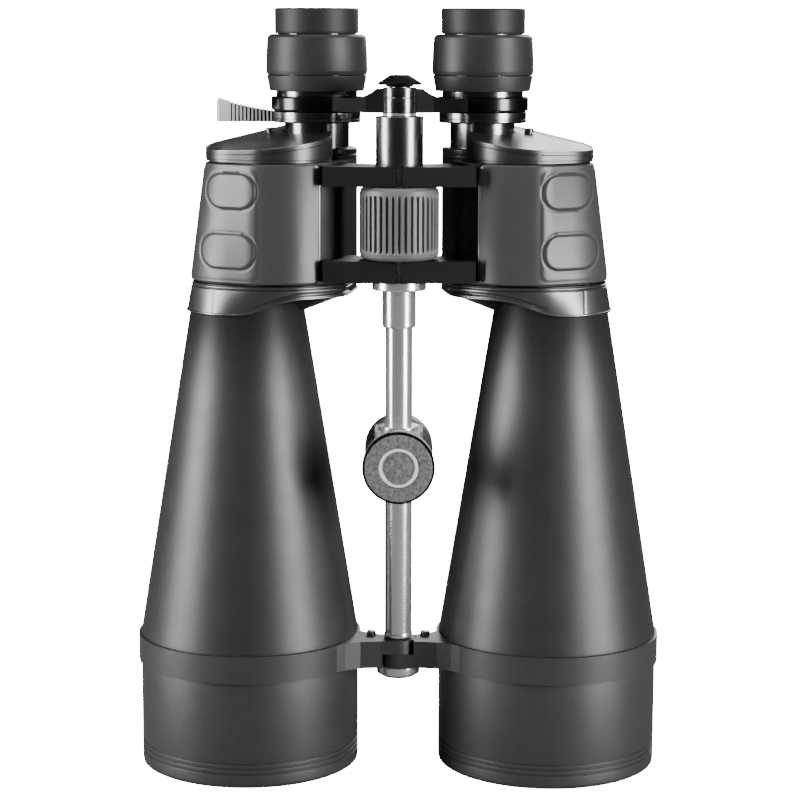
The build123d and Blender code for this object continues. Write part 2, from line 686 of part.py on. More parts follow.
def eyecup(name, side):
    """Fold-down rubber eyecup on the top of the inner tube."""
    section = (
        (INNER_R, GRIP_Z1 + GAP), (EYECUP_R - 0.4, GRIP_Z1 + GAP), (EYECUP_R, GRIP_Z1 + 1.2),
        (EYECUP_R, TOP_Z - 1.0), (EYECUP_R - 1.0, TOP_Z), (EYECUP_R - 1.9, TOP_Z), (14.2, TOP_Z - 0.8),
        (13.6, 296.0), (12.4, 295.6), (12.4, 294.2), (INNER_R, 294.2),
    )
    with BuildPart() as cup:
        add(turned(section, side * EYEPIECE_X, EYEPIECE_Y))
    finish(cup.part, f"{name}_eyecup")


def eyepiece_arm(name, side):
    """Arm of the focusing bridge: ring round the eyepiece, gusset and half of the hub."""
    reach = sqrt(EYEPIECE_X ** 2 + (EYEPIECE_Y - HINGE_Y) ** 2)
    dir_x, dir_y = side * EYEPIECE_X / reach, (EYEPIECE_Y - HINGE_Y) / reach
    upright = Plane(origin=(0, HINGE_Y, 0), x_dir=(dir_x, dir_y, 0), z_dir=(dir_y, -dir_x, 0))

    def spot(along, across):
        return along * dir_x - across * dir_y, HINGE_Y + along * dir_y + across * dir_x

    if side < 0:
        bore, ring_z, cut_z = JOURNAL_R, (SLEEVE_TOP + 0.1, HUB_SPLIT - 0.1), (HUB_SPLIT - 0.1, 280)
    else:
        bore, ring_z, cut_z = JOURNAL_R + RUN, (HUB_SPLIT + 0.1, HUB_TOP), (255, HUB_SPLIT + 0.1)
    with BuildPart() as arm:
        with BuildSketch(Plane.XY.offset(ARM_Z0)):
            with BuildLine():
                Polyline(spot(5.8, 3.4), spot(13, 6), spot(reach, 8), spot(reach, -8), spot(13, -6),
                         spot(5.8, -3.4), close=True)
            make_face()
        extrude(amount=12)
        with BuildSketch(upright):
            with BuildLine():
                Polyline((21, ARM_Z1), (60, ARM_Z1), (60, ARM_Z0 - 1), (5, ARM_Z0 - 1),
                         (5, HUB_TOP - 0.5), (8.5, HUB_TOP - 0.5))
                ThreePointArc((8.5, HUB_TOP - 0.5), (13, ARM_Z1 + 1.4), (21, ARM_Z1))
            make_face()
        extrude(amount=12, both=True, mode=Mode.INTERSECT)
        with BuildSketch(Plane.XY.offset(ARM_Z0)):
            with Locations((side * EYEPIECE_X, EYEPIECE_Y)):
                Circle(ARM_RING_R)
        extrude(amount=ARM_Z1 - ARM_Z0)
        with BuildSketch(Plane.XY.offset(cut_z[0])):
            with Locations((0, HINGE_Y)):
                Circle(HUB_R + GAP)
        extrude(amount=cut_z[1] - cut_z[0], mode=Mode.SUBTRACT)
        with BuildSketch(Plane.XY.offset(ring_z[0])):
            with Locations((0, HINGE_Y)):
                Circle(HUB_R)
        extrude(amount=ring_z[1] - ring_z[0])
        with BuildSketch(Plane.XY.offset(250)):
            with Locations((0, HINGE_Y)):
                Circle(bore)
            with Locations((side * EYEPIECE_X, EYEPIECE_Y)):
                Circle(ARM_SEAT_R)
        extrude(amount=30, mode=Mode.SUBTRACT)
    finish(arm.part, f"{name}_eyepiece_arm")


for name, side in SIDES.items():
    objective_cell(name, side)
    retaining_ring(name, side)
    objective_doublet(name, side)
    barrel(name, side)
    front_bridge_arm(name, side)
    prism_housing(name, side)
    armour(name, side)
    nose_cover(name, side)
    prism_shelf(name, side)
    prism(name, side, rear=True)
    prism(name, side, rear=False)
    rear_cover(name, side)
    cover_screw(name, side)
    eyepiece_guide(name, side)
    eyepiece_tube(name, side)
    zoom_ring(name, side)
    zoom_cam(name, side)
    lens_cell(f"{name}_zoom_lens_cell", side, DRAW_R - 2.05, 9.6, 246, 252)
    lens(f"{name}_zoom_lens", side, 9.55, 247.8, 250.5, 0.7)
    lens_cell(f"{name}_eye_lens_cell", side, 13.45, 12.0, 280, 292)
    lens(f"{name}_eye_lens", side, 11.95, 283.2, 288.0, 1.6)
    eyecup(name, side)
    eyepiece_arm(name, side)
grip_ring("left_grip_ring", SIDES["left"])
grip_ring("right_diopter_ring", SIDES["right"])


# ---------------------------------------------------------------- hinge and focusing, on the fold axis
axle_section = (
    (AXLE_BORE, COLLAR_Z1 + 0.5), (AXLE_R, COLLAR_Z1 + 0.5), (AXLE_R, UPPER_BAR[3]),
    (SLEEVE_R, UPPER_BAR[3]), (SLEEVE_R, SLEEVE_TOP - 0.5), (SLEEVE_R - 0.5, SLEEVE_TOP),
    (AXLE_BORE, SLEEVE_TOP),
)
slot_z0 = PIN_Z - PIN_R - GAP
slot_height = 2 * (PIN_R + GAP) + FOCUS_TRAVEL
with BuildPart() as hinge_axle:
    add(turned(axle_section, 0, HINGE_Y))
    with BuildSketch(Plane.XY.offset(slot_z0)):
        with Locations((0, HINGE_Y)):
            Rectangle(2 * AXLE_R + 2, 2 * PIN_R + 0.1)
    extrude(amount=slot_height, mode=Mode.SUBTRACT)
finish(hinge_axle.part, "hinge_axle")

wheel_bore = AXLE_R + RUN
core_section = (
    (wheel_bore, WHEEL_Z0), (13.2, WHEEL_Z0), (13.2, WHEEL_Z1), (wheel_bore, WHEEL_Z1),
    (wheel_bore, WHEEL_Z1 - 3.5), (11.5, WHEEL_Z1 - 3.5), (11.5, WHEEL_Z0 + 3.5),
    (wheel_bore, WHEEL_Z0 + 3.5),
)
with BuildPart() as focus_wheel_core:
    add(turned(core_section, 0, HINGE_Y))
finish(focus_wheel_core.part, "focus_wheel_core")

grip_section = (
    (13.2, WHEEL_Z0), (13.4, WHEEL_Z0), (WHEEL_R, WHEEL_Z0 + 2.6), (WHEEL_R, WHEEL_Z1 - 2.6),
    (13.4, WHEEL_Z1), (13.2, WHEEL_Z1),
)
with BuildPart() as focus_wheel_grip:
    add(turned(grip_section, 0, HINGE_Y))
    with BuildSketch(Plane.XY.offset(WHEEL_Z0 + 3.2)):
        with Locations((0, HINGE_Y)):
            with PolarLocations(WHEEL_R + 0.1, WHEEL_RIBS):
                Circle(0.7)
    extrude(amount=WHEEL_Z1 - WHEEL_Z0 - 6.4, mode=Mode.SUBTRACT)
finish(focus_wheel_grip.part, "focus_wheel_grip")

spindle_section = (
    (0, 207), (SPINDLE_R, 207), (SPINDLE_R, SLEEVE_TOP), (JOURNAL_R, SLEEVE_TOP),
    (JOURNAL_R, HUB_TOP + 0.2), (STUD_R, HUB_TOP + 0.2), (STUD_R, 275.5), (0, 275.5),
)
with BuildPart() as drive_pin:
    with BuildSketch(Plane.YZ.offset(-11)):
        with Locations((HINGE_Y, PIN_Z)):
            Circle(PIN_R)
    extrude(amount=22)
with BuildPart() as focus_spindle:
    add(turned(spindle_section, 0, HINGE_Y))
    add(drive_pin.part, mode=Mode.SUBTRACT)
finish(focus_spindle.part, "focus_spindle")
finish(drive_pin.part, "focus_drive_pin")

cap_section = (
    (0, 275.5), (STUD_R, 275.5), (STUD_R, HUB_TOP + 0.3), (5.2, HUB_TOP + 0.3), (5.2, 273.2),
    (8.5, 273.2), (8.5, 273.7), (3.7, 277.1), (0, 277.1),
)
with BuildPart() as spindle_cap:
    add(turned(cap_section, 0, HINGE_Y))
finish(spindle_cap.part, "spindle_cap")


# ---------------------------------------------------------------- tripod rod and its clamp
rod_section = (
    (0, CELL_TOP - 3.6), (STUD_R, CELL_TOP - 3.6), (STUD_R, BAND_TOP), (ROD_R - 0.6, BAND_TOP),
    (ROD_R, BAND_TOP + 0.6), (ROD_R, 186), (0, 186),
)
with BuildPart() as tripod_rod:
    add(turned(rod_section, 0, HINGE_Y))
finish(tripod_rod.part, "tripod_rod")

nut_section = (
    (0, CELL_TOP - 4.4), (6.6, CELL_TOP - 4.4), (8.6, CELL_TOP - 3.0), (8.6, CELL_TOP - 0.1),
    (STUD_R, CELL_TOP - 0.1), (STUD_R, CELL_TOP - 3.6), (0, CELL_TOP - 3.6),
)
with BuildPart() as rod_cap_nut:
    add(turned(nut_section, 0, HINGE_Y))
finish(rod_cap_nut.part, "rod_cap_nut")

collar_section = (
    (ROD_R, COLLAR_Z0), (COLLAR_R - 0.4, COLLAR_Z0), (COLLAR_R, COLLAR_Z0 + 0.4),
    (COLLAR_R, COLLAR_Z1), (FLANGE_R, COLLAR_Z1), (FLANGE_R, LOWER_BAR[0]),
    (AXLE_R, LOWER_BAR[0]), (AXLE_R, COLLAR_Z1 + 0.5), (0, COLLAR_Z1 + 0.5), (0, 186), (ROD_R, 186),
)
with BuildPart() as rod_collar:
    add(turned(collar_section, 0, HINGE_Y))
finish(rod_collar.part, "rod_collar")

bush_bore = ROD_R + RUN
bush_end = CLAMP_HALF + 1.2
bush_section = (
    (bush_bore, CLAMP_Z - bush_end), (BUSH_R + 1, CLAMP_Z - bush_end),
    (BUSH_R + 1, CLAMP_Z - CLAMP_HALF - 0.1), (BUSH_R, CLAMP_Z - CLAMP_HALF - 0.1),
    (BUSH_R, CLAMP_Z + CLAMP_HALF + 0.1), (BUSH_R + 1, CLAMP_Z + CLAMP_HALF + 0.1),
    (BUSH_R + 1, CLAMP_Z + bush_end), (bush_bore, CLAMP_Z + bush_end),
)
with BuildPart() as clamp_bush:
    add(turned(bush_section, 0, HINGE_Y))
finish(clamp_bush.part, "clamp_bush")

with BuildPart() as clamp_block:
    with BuildSketch(Plane.XY.offset(CLAMP_Z - CLAMP_HALF)):
        with Locations((0, HINGE_Y)):
            RectangleRounded(19, 20, 4)
    extrude(amount=2 * CLAMP_HALF)
    with BuildSketch(Plane.XZ.offset(-HINGE_Y - 8)):
        with Locations((0, CLAMP_Z)):
            Circle(9)
    extrude(amount=HINGE_Y + 8 - FOOT_Y0 - 1)
    with BuildSketch(Plane.XZ.offset(-FOOT_Y0)):
        with Locations((0, CLAMP_Z)):
            Circle(FOOT_R)
    extrude(amount=FOOT_Y0 - FOOT_Y1)
    with BuildSketch(Plane.XZ.offset(-FOOT_Y1)):
        with Locations((0, CLAMP_Z)):
            Circle(TAP_R)
    extrude(amount=TAP_DEPTH, mode=Mode.SUBTRACT)
    with BuildSketch(Plane.XY.offset(CLAMP_Z - CLAMP_HALF)):
        with Locations((0, HINGE_Y)):
            Circle(BUSH_R + RUN)
    extrude(amount=2 * CLAMP_HALF, mode=Mode.SUBTRACT)
    with BuildSketch(Plane.XZ.offset(-HINGE_Y)):
        with Locations((0, CLAMP_Z)):
            Circle(STUD_R + RUN)
    extrude(amount=12, mode=Mode.SUBTRACT)
finish(clamp_block.part, "clamp_block")

with BuildPart() as lock_knob:
    with BuildSketch(Plane.XZ.offset(-KNOB_Y1)):
        with Locations((0, CLAMP_Z)):
            Circle(KNOB_R)
    extrude(amount=KNOB_Y1 - KNOB_Y0)
    with BuildSketch(Plane.XZ.offset(-KNOB_Y0 - 0.6)):
        with Locations((0, CLAMP_Z)):
            Circle(7.6)
            Circle(6.5, mode=Mode.SUBTRACT)
    extrude(amount=0.6, mode=Mode.SUBTRACT)
    with BuildSketch(Plane.XZ.offset(-KNOB_Y1)):
        with Locations((0, CLAMP_Z)):
            Circle(8)
    extrude(amount=KNOB_Y1 - HINGE_Y + 10.3)
    with BuildSketch(Plane.XZ.offset(-KNOB_Y1)):
        with Locations((0, CLAMP_Z)):
            Circle(STUD_R)
    extrude(amount=KNOB_Y1 - HINGE_Y + BUSH_R + 0.3)
finish(lock_knob.part, "lock_knob")
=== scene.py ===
"""Looks for the astronomy binoculars: materials, detailed pieces, camera and studio.

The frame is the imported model's: the object stands on its objective rims with its eyepieces up, its left
half is at -X and its front faces -Y. Blender works in metres; the profiles and outlines here are in
millimetres and are scaled where a mesh is made.
"""
import bisect
import math

import bpy
import bmesh
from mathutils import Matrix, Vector


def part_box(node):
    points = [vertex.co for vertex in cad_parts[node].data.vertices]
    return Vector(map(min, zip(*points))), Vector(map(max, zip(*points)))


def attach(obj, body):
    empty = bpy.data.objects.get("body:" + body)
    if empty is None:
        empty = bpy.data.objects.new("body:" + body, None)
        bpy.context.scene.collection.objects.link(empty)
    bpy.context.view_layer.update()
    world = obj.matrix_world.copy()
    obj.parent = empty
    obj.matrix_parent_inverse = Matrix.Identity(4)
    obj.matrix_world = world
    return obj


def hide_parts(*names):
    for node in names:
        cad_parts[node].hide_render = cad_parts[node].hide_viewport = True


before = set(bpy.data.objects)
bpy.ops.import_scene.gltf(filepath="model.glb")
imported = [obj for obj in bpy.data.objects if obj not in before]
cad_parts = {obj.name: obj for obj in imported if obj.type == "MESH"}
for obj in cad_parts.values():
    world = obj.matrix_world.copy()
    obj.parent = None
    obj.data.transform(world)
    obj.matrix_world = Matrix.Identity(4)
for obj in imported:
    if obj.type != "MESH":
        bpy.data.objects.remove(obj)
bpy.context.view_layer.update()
MM = 0.001
SIDES = {"left": -1, "right": 1}


def box_middle(node, axis):
    """Middle of a node's box on one axis, in millimetres."""
    low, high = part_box(node)
    return round((low["XYZ".index(axis)] + high["XYZ".index(axis)]) / 2 / MM, 1)


# axes that the turned pieces share; the left half mirrors the right
OBJECTIVE_X = box_middle("right_objective_cell", "X")                           # its y is 0
EYEPIECE = (box_middle("right_eyecup", "X"), box_middle("right_eyecup", "Y"))   # x, y
HINGE = (0, box_middle("tripod_rod", "Y"))                                      # x, y
CLAMP = (0, box_middle("lock_knob", "Z"))                                       # x, z


# ---------------------------------------------------------------- materials
def surface(name, color, rough, metal=0.0, grain=0.0, grain_size=3000.0, mottle=0.0, spec=0.5,
            rough_vary=0.06, painted_shade=None):
    """Painted, rubber or metal surface.

    grain roughens it, mottle varies its colour and rough_vary its gloss, by noise through the object;
    painted_shade = (low, high, least) lowers its shine from height low to height high in millimetres,
    which paints shade onto it there.
    """
    mat = bpy.data.materials.new(name)
    mat.use_nodes = True
    tree = mat.node_tree
    bsdf = tree.nodes["Principled BSDF"]
    bsdf.inputs["Base Color"].default_value = (*color, 1)
    bsdf.inputs["Roughness"].default_value = rough
    bsdf.inputs["Metallic"].default_value = metal
    bsdf.inputs["Specular IOR Level"].default_value = spec
    coords = tree.nodes.new("ShaderNodeTexCoord")
    # painted shade: the shine falls off with height
    if painted_shade:
        low, high, least = painted_shade
        split_z = tree.nodes.new("ShaderNodeSeparateXYZ")
        tree.links.new(coords.outputs["Object"], split_z.inputs["Vector"])
        shade_ramp = tree.nodes.new("ShaderNodeMapRange")
        shade_ramp.interpolation_type = "SMOOTHSTEP"
        shade_ramp.inputs["From Min"].default_value = low * MM
        shade_ramp.inputs["From Max"].default_value = high * MM
        shade_ramp.inputs["To Min"].default_value = spec
        shade_ramp.inputs["To Max"].default_value = spec * least
        tree.links.new(split_z.outputs["Z"], shade_ramp.inputs["Value"])
        tree.links.new(shade_ramp.outputs["Result"], bsdf.inputs["Specular IOR Level"])
    if rough_vary:
        cloud = tree.nodes.new("ShaderNodeTexNoise")
        cloud.inputs["Scale"].default_value = 90
        cloud.inputs["Detail"].default_value = 5
        tree.links.new(coords.outputs["Object"], cloud.inputs["Vector"])
        spread = tree.nodes.new("ShaderNodeMapRange")
        spread.inputs["To Min"].default_value = max(0.02, rough - rough_vary)
        spread.inputs["To Max"].default_value = min(1, rough + rough_vary)
        tree.links.new(cloud.outputs["Fac"], spread.inputs["Value"])
        tree.links.new(spread.outputs["Result"], bsdf.inputs["Roughness"])
    if mottle:
        speckle = tree.nodes.new("ShaderNodeTexNoise")
        speckle.inputs["Scale"].default_value = grain_size * 0.6
        speckle.inputs["Detail"].default_value = 3
        tree.links.new(coords.outputs["Object"], speckle.inputs["Vector"])
        ramp = tree.nodes.new("ShaderNodeValToRGB")
        ramp.color_ramp.elements[0].position = 0.35
        ramp.color_ramp.elements[1].position = 0.68
        ramp.color_ramp.elements[0].color = (*[c * (1 - mottle) for c in color], 1)
        ramp.color_ramp.elements[1].color = (*[min(1, c * (1 + mottle)) for c in color], 1)
        tree.links.new(speckle.outputs["Fac"], ramp.inputs["Fac"])
        tree.links.new(ramp.outputs["Color"], bsdf.inputs["Base Color"])
    if grain:
        dots = tree.nodes.new("ShaderNodeTexNoise")
        dots.inputs["Scale"].default_value = grain_size
        dots.inputs["Detail"].default_value = 2
        tree.links.new(coords.outputs["Object"], dots.inputs["Vector"])
        bump = tree.nodes.new("ShaderNodeBump")
        bump.inputs["Strength"].default_value = grain
        bump.inputs["Distance"].default_value = 0.0002
        tree.links.new(dots.outputs["Fac"], bump.inputs["Height"])
        tree.links.new(bump.outputs["Normal"], bsdf.inputs["Normal"])
    return mat


def glass(name, tint):
    """Clear optical glass with a faint bluish coating."""
    mat = bpy.data.materials.new(name)
    mat.use_nodes = True
    bsdf = mat.node_tree.nodes["Principled BSDF"]
    bsdf.inputs["Base Color"].default_value = (*tint, 1)
    bsdf.inputs["Roughness"].default_value = 0.02
    bsdf.inputs["Transmission Weight"].default_value = 0.9
    bsdf.inputs["IOR"].default_value = 1.52
    bsdf.inputs["Coat Weight"].default_value = 0.3
    bsdf.inputs["Coat Tint"].default_value = (0.55, 0.75, 0.9, 1)
    return mat


# paints
# the barrel's shine falls off from 150 to 186 mm: painted shade near its top, under the nose cover
PAINT = surface("barrel_paint", (0.014, 0.014, 0.0147), 0.44, grain=0.12, grain_size=2600, mottle=0.15,
                spec=0.56, painted_shade=(150, 186, 0.12))
CELL = surface("cell_paint", (0.022, 0.022, 0.023), 0.42, grain=0.12, grain_size=2600, mottle=0.15,
               spec=0.75)
HOUSING = surface("housing_paint", (0.005, 0.005, 0.0053), 0.5, grain=0.1, grain_size=2600, spec=0.25)
ARM = surface("arm_paint", (0.001, 0.001, 0.00105), 0.5, grain=0.06, grain_size=2600, spec=0.05)

# rubbers
ARMOUR = surface("armour_rubber", (0.036, 0.036, 0.0367), 0.38, grain=0.1, grain_size=2200,
                 mottle=0.06, spec=0.5)
GRIP = surface("grip_rubber", (0.018, 0.018, 0.0185), 0.46, grain=0.1, grain_size=2200, mottle=0.1,
               spec=0.32)
WHEEL = surface("wheel_rubber", (0.11, 0.11, 0.111), 0.45, grain=0.1, grain_size=2200, mottle=0.08)
CUP = surface("eyecup_rubber", (0.014, 0.014, 0.0145), 0.5, grain=0.1, grain_size=2200, mottle=0.1,
              spec=0.26)

# metals
SATIN = surface("satin_metal", (0.1, 0.1, 0.102), 0.33, metal=0.85, grain=0.06, grain_size=3200,
                mottle=0.08)
NOSE = surface("nose_metal", (0.11, 0.11, 0.112), 0.3, metal=0.85, grain=0.06, grain_size=3200,
               mottle=0.08)
COVER = surface("cover_metal", (0.07, 0.07, 0.0715), 0.34, metal=0.85, grain=0.1, grain_size=2600,
                mottle=0.1)
TRIM = surface("edge_metal", (0.2, 0.2, 0.203), 0.3, metal=1.0, grain=0.03)
ANODISED = surface("black_anodised", (0.03, 0.03, 0.031), 0.28, metal=0.5, grain=0.03)
GLOSS = surface("gloss_black", (0.06, 0.06, 0.061), 0.2, metal=1.0, grain=0.02)
DARK_CHROME = surface("dark_chrome", (0.2, 0.2, 0.203), 0.24, metal=1.0, grain=0.03)
TUBE = surface("tube_metal", (0.2, 0.2, 0.203), 0.2, metal=1.0, grain=0.02)
CHROME = surface("polished_steel", (0.88, 0.88, 0.885), 0.2, metal=0.88, grain=0.02, rough_vary=0.04)
AXLE = surface("axle_steel", (0.75, 0.75, 0.755), 0.4, metal=0.25, grain=0.03)
STEEL = surface("turned_steel", (0.45, 0.45, 0.455), 0.3, metal=1.0, grain=0.05)
SCREW = surface("screw_steel", (0.1, 0.1, 0.102), 0.35, metal=1.0, grain=0.04)
LEVER = surface("lever_metal", (0.7, 0.7, 0.705), 0.4, metal=0.3, grain=0.05)
BRASS = surface("turned_brass", (0.6, 0.44, 0.18), 0.3, metal=1.0, grain=0.04)
BLASTED = surface("blasted_metal", (0.2, 0.2, 0.202), 0.48, metal=0.55, grain=0.6, grain_size=1500,
                  mottle=0.35)

GLASS = glass("coated_glass", (0.82, 0.9, 0.95))

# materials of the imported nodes: those that each half has, then the single ones
PAIRED = {
    "objective_cell": CELL, "objective_ring": ANODISED, "objective_doublet": GLASS,
    "barrel": PAINT, "front_bridge_arm": CELL, "prism_housing": HOUSING, "armour": ARMOUR,
    "nose_cover": SATIN, "prism_shelf": ANODISED, "rear_prism": GLASS, "front_prism": GLASS,
    "rear_cover": COVER, "cover_screws": SCREW, "eyepiece_guide": ANODISED,
    "eyepiece_tube": DARK_CHROME, "zoom_ring": DARK_CHROME, "zoom_cam": BRASS,
    "zoom_lens_cell": ANODISED, "zoom_lens": GLASS, "eye_lens_cell": ANODISED, "eye_lens": GLASS,
    "eyecup": CUP, "eyepiece_arm": ARM, "grip_ring": GRIP, "diopter_ring": GRIP,
}
SINGLE = {
    "hinge_axle": AXLE, "focus_wheel_core": ANODISED, "focus_wheel_grip": WHEEL,
    "focus_spindle": STEEL, "focus_drive_pin": STEEL, "spindle_cap": ARM, "tripod_rod": CHROME,
    "rod_cap_nut": CHROME, "rod_collar": CHROME, "clamp_bush": CHROME, "clamp_block": BLASTED,
    "lock_knob": BLASTED,
}


def dress(obj, mat):
    """Put one material on every slot of an object."""
    if not obj.material_slots:
        obj.data.materials.append(mat)
    for held in obj.material_slots:
        held.material = mat


for node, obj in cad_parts.items():
    side_word, _, kind = node.partition("_")
    dress(obj, PAIRED[kind] if side_word in SIDES and kind in PAIRED else SINGLE[node])


# ---------------------------------------------------------------- mesh helpers, all in millimetres
def piece(name, verts, faces, mat, body, node=None, sharp=32):
    """Make a mesh from millimetre points, smooth it between sharp edges and let it ride on a body."""
    mesh = bpy.data.meshes.new(name)
    mesh.from_pydata([(x * MM, y * MM, z * MM) for x, y, z in verts], [], faces)
    work = bmesh.new()
    work.from_mesh(mesh)
    bmesh.ops.remove_doubles(work, verts=work.verts, dist=1e-6)
    bmesh.ops.recalc_face_normals(work, faces=work.faces)
    work.to_mesh(mesh)
    work.free()
    mesh.shade_smooth()
    mesh.set_sharp_from_angle(angle=math.radians(sharp))
    obj = bpy.data.objects.new(name, mesh)
    bpy.context.collection.objects.link(obj)
    dress(obj, mat)
    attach(obj, body)
    if node:
        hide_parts(node)
    return obj


def rounded(points, steps=5):
    """Close a profile, turning each point's third value into a fillet radius."""
    out = []
    count = len(points)
    for i, point in enumerate(points):
        here = Vector(point[:2])
        radius = point[2] if len(point) > 2 else 0
        before = Vector(points[i - 1][:2]) - here
        after = Vector(points[(i + 1) % count][:2]) - here
        if not radius or before.length < 1e-6 or after.length < 1e-6:
            out.append(tuple(here))
            continue
        reach = min(radius / math.tan(before.angle(after) / 2), 0.49 * before.length,
                    0.49 * after.length)
        start, end = here + before.normalized() * reach, here + after.normalized() * reach
        for k in range(steps + 1):
            t = k / steps
            out.append(tuple((1 - t) ** 2 * start + 2 * t * (1 - t) * here + t * t * end))
    return out


def split(profile, longest):
    """Cut a closed profile's long runs so that a wave can follow them."""
    out = []
    for i, here in enumerate(profile):
        there = profile[(i + 1) % len(profile)]
        parts = max(1, math.ceil(math.dist(here, there) / longest))
        out += [tuple(a + (b - a) * k / parts for a, b in zip(here, there)) for k in range(parts)]
    return out


def turned(name, centre, profile, mat, body, node=None, segments=144, wave=None, axis="Z",
           sharp=32):
    """Turned piece about the Z axis through centre (x, y), or the Y axis through (x, z)."""
    verts, faces = [], []
    rows = len(profile)
    for i in range(segments):
        turn = 2 * math.pi * i / segments
        for r, h in profile:
            if wave:
                r = wave(turn, r, h)
            u, v = centre[0] + r * math.cos(turn), centre[1] + r * math.sin(turn)
            verts.append((u, v, h) if axis == "Z" else (u, h, v))
    for i in range(segments):
        a, b = i * rows, (i + 1) % segments * rows
        for k in range(rows):
            n = (k + 1) % rows
            if profile[k][0] < 1e-6 and profile[n][0] < 1e-6:
                continue
            faces.append((a + k, b + k, b + n, a + n))
    return piece(name, verts, faces, mat, body, node, sharp)


def smooth(low, high, x):
    """Smooth step from 0 at low to 1 at high."""
    t = min(1, max(0, (x - low) / (high - low)))
    return t * t * (3 - 2 * t)


def box_distance(x, y, half_x, half_y, radius):
    """Signed distance from the edge of a rounded rectangle about the origin."""
    qx, qy = abs(x) - half_x + radius, abs(y) - half_y + radius
    return math.hypot(max(qx, 0), max(qy, 0)) + min(max(qx, qy), 0) - radius


# ---------------------------------------------------------------- body outline
BODY_Z0, BODY_Z1 = 195.9, 243.2
CORNER_SPOT = (35.5, -2.6)      # corner beside the hinge bars
HALF_MIDDLE = (47.0, -1.0)      # about the middle of the outline


def body_circles(z, grow=0.0):
    """Circles (x, y, radius) whose hull is the housing's outline at height z.

    In order: objective, flank, ridge between the pads and the front, bulge of the front, corner beside
    the hinge bars, and heel round the eyepiece.
    """
    t = (z - BODY_Z0) / (BODY_Z1 - BODY_Z0)
    return [(OBJECTIVE_X, 0, 20.4 - 4.8 * t + grow), (66.5 - 4.9 * t, 0, 16.2 - 1.3 * t + grow),
            (53.5, -20.5 + 2.5 * t, 5.0 + grow), (47.0, -2.2 + 2.4 * t, 23.0 + grow),
            (*CORNER_SPOT, 15.9 + grow), (*EYEPIECE, 17.9 + grow)]


def hull_parts(circles):
    """Order of the circles on their hull, anticlockwise, with the turn where each one starts."""
    order = []
    for k in range(720):
        turn = math.pi * k / 360
        best = max(range(len(circles)), key=lambda i: circles[i][0] * math.cos(turn)
                   + circles[i][1] * math.sin(turn) + circles[i][2])
        if not order or order[-1] != best:
            order.append(best)
    if len(order) > 1 and order[0] == order[-1]:
        order.pop()
    starts = []
    for k, here in enumerate(order):
        x0, y0, r0 = circles[order[k - 1]]
        x1, y1, r1 = circles[here]
        gap = math.hypot(x1 - x0, y1 - y0)
        starts.append(math.atan2(y1 - y0, x1 - x0) - math.acos((r0 - r1) / gap))
    return order, starts


def hull_loop(circles, per_arc=26, per_run=22):
    """Points and outward directions round the hull, the same number on every arc and run."""
    order, starts = hull_parts(circles)
    loop = []
    for k, i in enumerate(order):
        x, y, r = circles[i]
        first = starts[k]
        last = first + (starts[(k + 1) % len(order)] - first) % (2 * math.pi)
        for s in range(per_arc + 1):
            turn = first + (last - first) * s / per_arc
            loop.append((x + r * math.cos(turn), y + r * math.sin(turn), math.cos(turn), math.sin(turn)))
        nx, ny, nr = circles[order[(k + 1) % len(order)]]
        ax, ay = loop[-1][:2]
        bx, by = nx + nr * math.cos(last), ny + nr * math.sin(last)
        for s in range(1, per_run):
            t = s / per_run
            loop.append((ax + (bx - ax) * t, ay + (by - ay) * t, math.cos(last), math.sin(last)))
    return loop


def open_run(loop, edge_x):
    """Part of the loop with x beyond edge_x, from its front end to its rear end, with distances."""
    count = len(loop)
    begin = next(k for k in range(count) if loop[k - 1][0] < edge_x <= loop[k][0])
    run = [loop[(begin - 1 + k) % count] for k in range(count)]
    run = run[:next(k for k in range(1, count) if run[k][0] >= edge_x > run[(k + 1) % count][0]) + 2]
    clip = []
    for p, q in ((run[0], run[1]), (run[-1], run[-2])):
        t = (edge_x - p[0]) / (q[0] - p[0])
        clip.append(tuple(a + (b - a) * t for a, b in zip(p, q)))
    run[0], run[-1] = clip
    length = [0.0]
    for p, q in zip(run, run[1:]):
        length.append(length[-1] + math.dist(p[:2], q[:2]))
    return run, length


def along(run, length, wanted):
    """Points of an open run at rising distances."""
    out, k = [], 0
    for s in wanted:
        while k < len(run) - 2 and length[k + 1] < s:
            k += 1
        span = length[k + 1] - length[k] or 1
        t = (s - length[k]) / span
        out.append(tuple(a + (b - a) * t for a, b in zip(run[k], run[k + 1])))
    return out


def eased(loop, reach):
    """Closed outline with each point and direction averaged over a length either side of it."""
    count = len(loop)
    length = [0.0]
    for k in range(2 * count):
        length.append(length[-1] + math.dist(loop[k % count][:2], loop[(k + 1) % count][:2]))
    total = length[count]
    out = []
    side_steps = 6
    steps = range(-side_steps, side_steps + 1)
    for i in range(count):
        sums = [0.0, 0.0, 0.0, 0.0]
        for s in steps:
            at = (length[i] + reach * s / side_steps) % total
            k = max(0, min(count - 1, bisect.bisect_right(length, at) - 1))
            span = length[k + 1] - length[k] or 1
            t = (at - length[k]) / span
            p, q = loop[k], loop[(k + 1) % count]
            sums = [a + b + (c - b) * t for a, b, c in zip(sums, p, q)]
        x, y, nx, ny = (a / len(steps) for a in sums)
        far = math.hypot(nx, ny)
        out.append((x, y, nx / far, ny / far))
    return out


EDGE = [0, 0.06, 0.16, 0.32, 0.55, 0.85, 1.2, 1.6]     # distances of the rows nearest to an edge
CORNER = 3.6            # radius of the armour's corners, seen from the front
EDGE_ROUND = 0.75       # radius of its rounded edge
BAND_EASE = 4.5         # how far each side its outline is averaged
EASED_BACK = 0.25       # growth that makes up for what averaging takes off


def stations(length, pitch):
    """Distances along a run, close together near both ends."""
    inner = length - 2 * EDGE[-1]
    count = max(2, int(inner / pitch))
    middle = [EDGE[-1] + inner * k / count for k in range(1, count)]
    return EDGE + middle + [length - e for e in reversed(EDGE)]


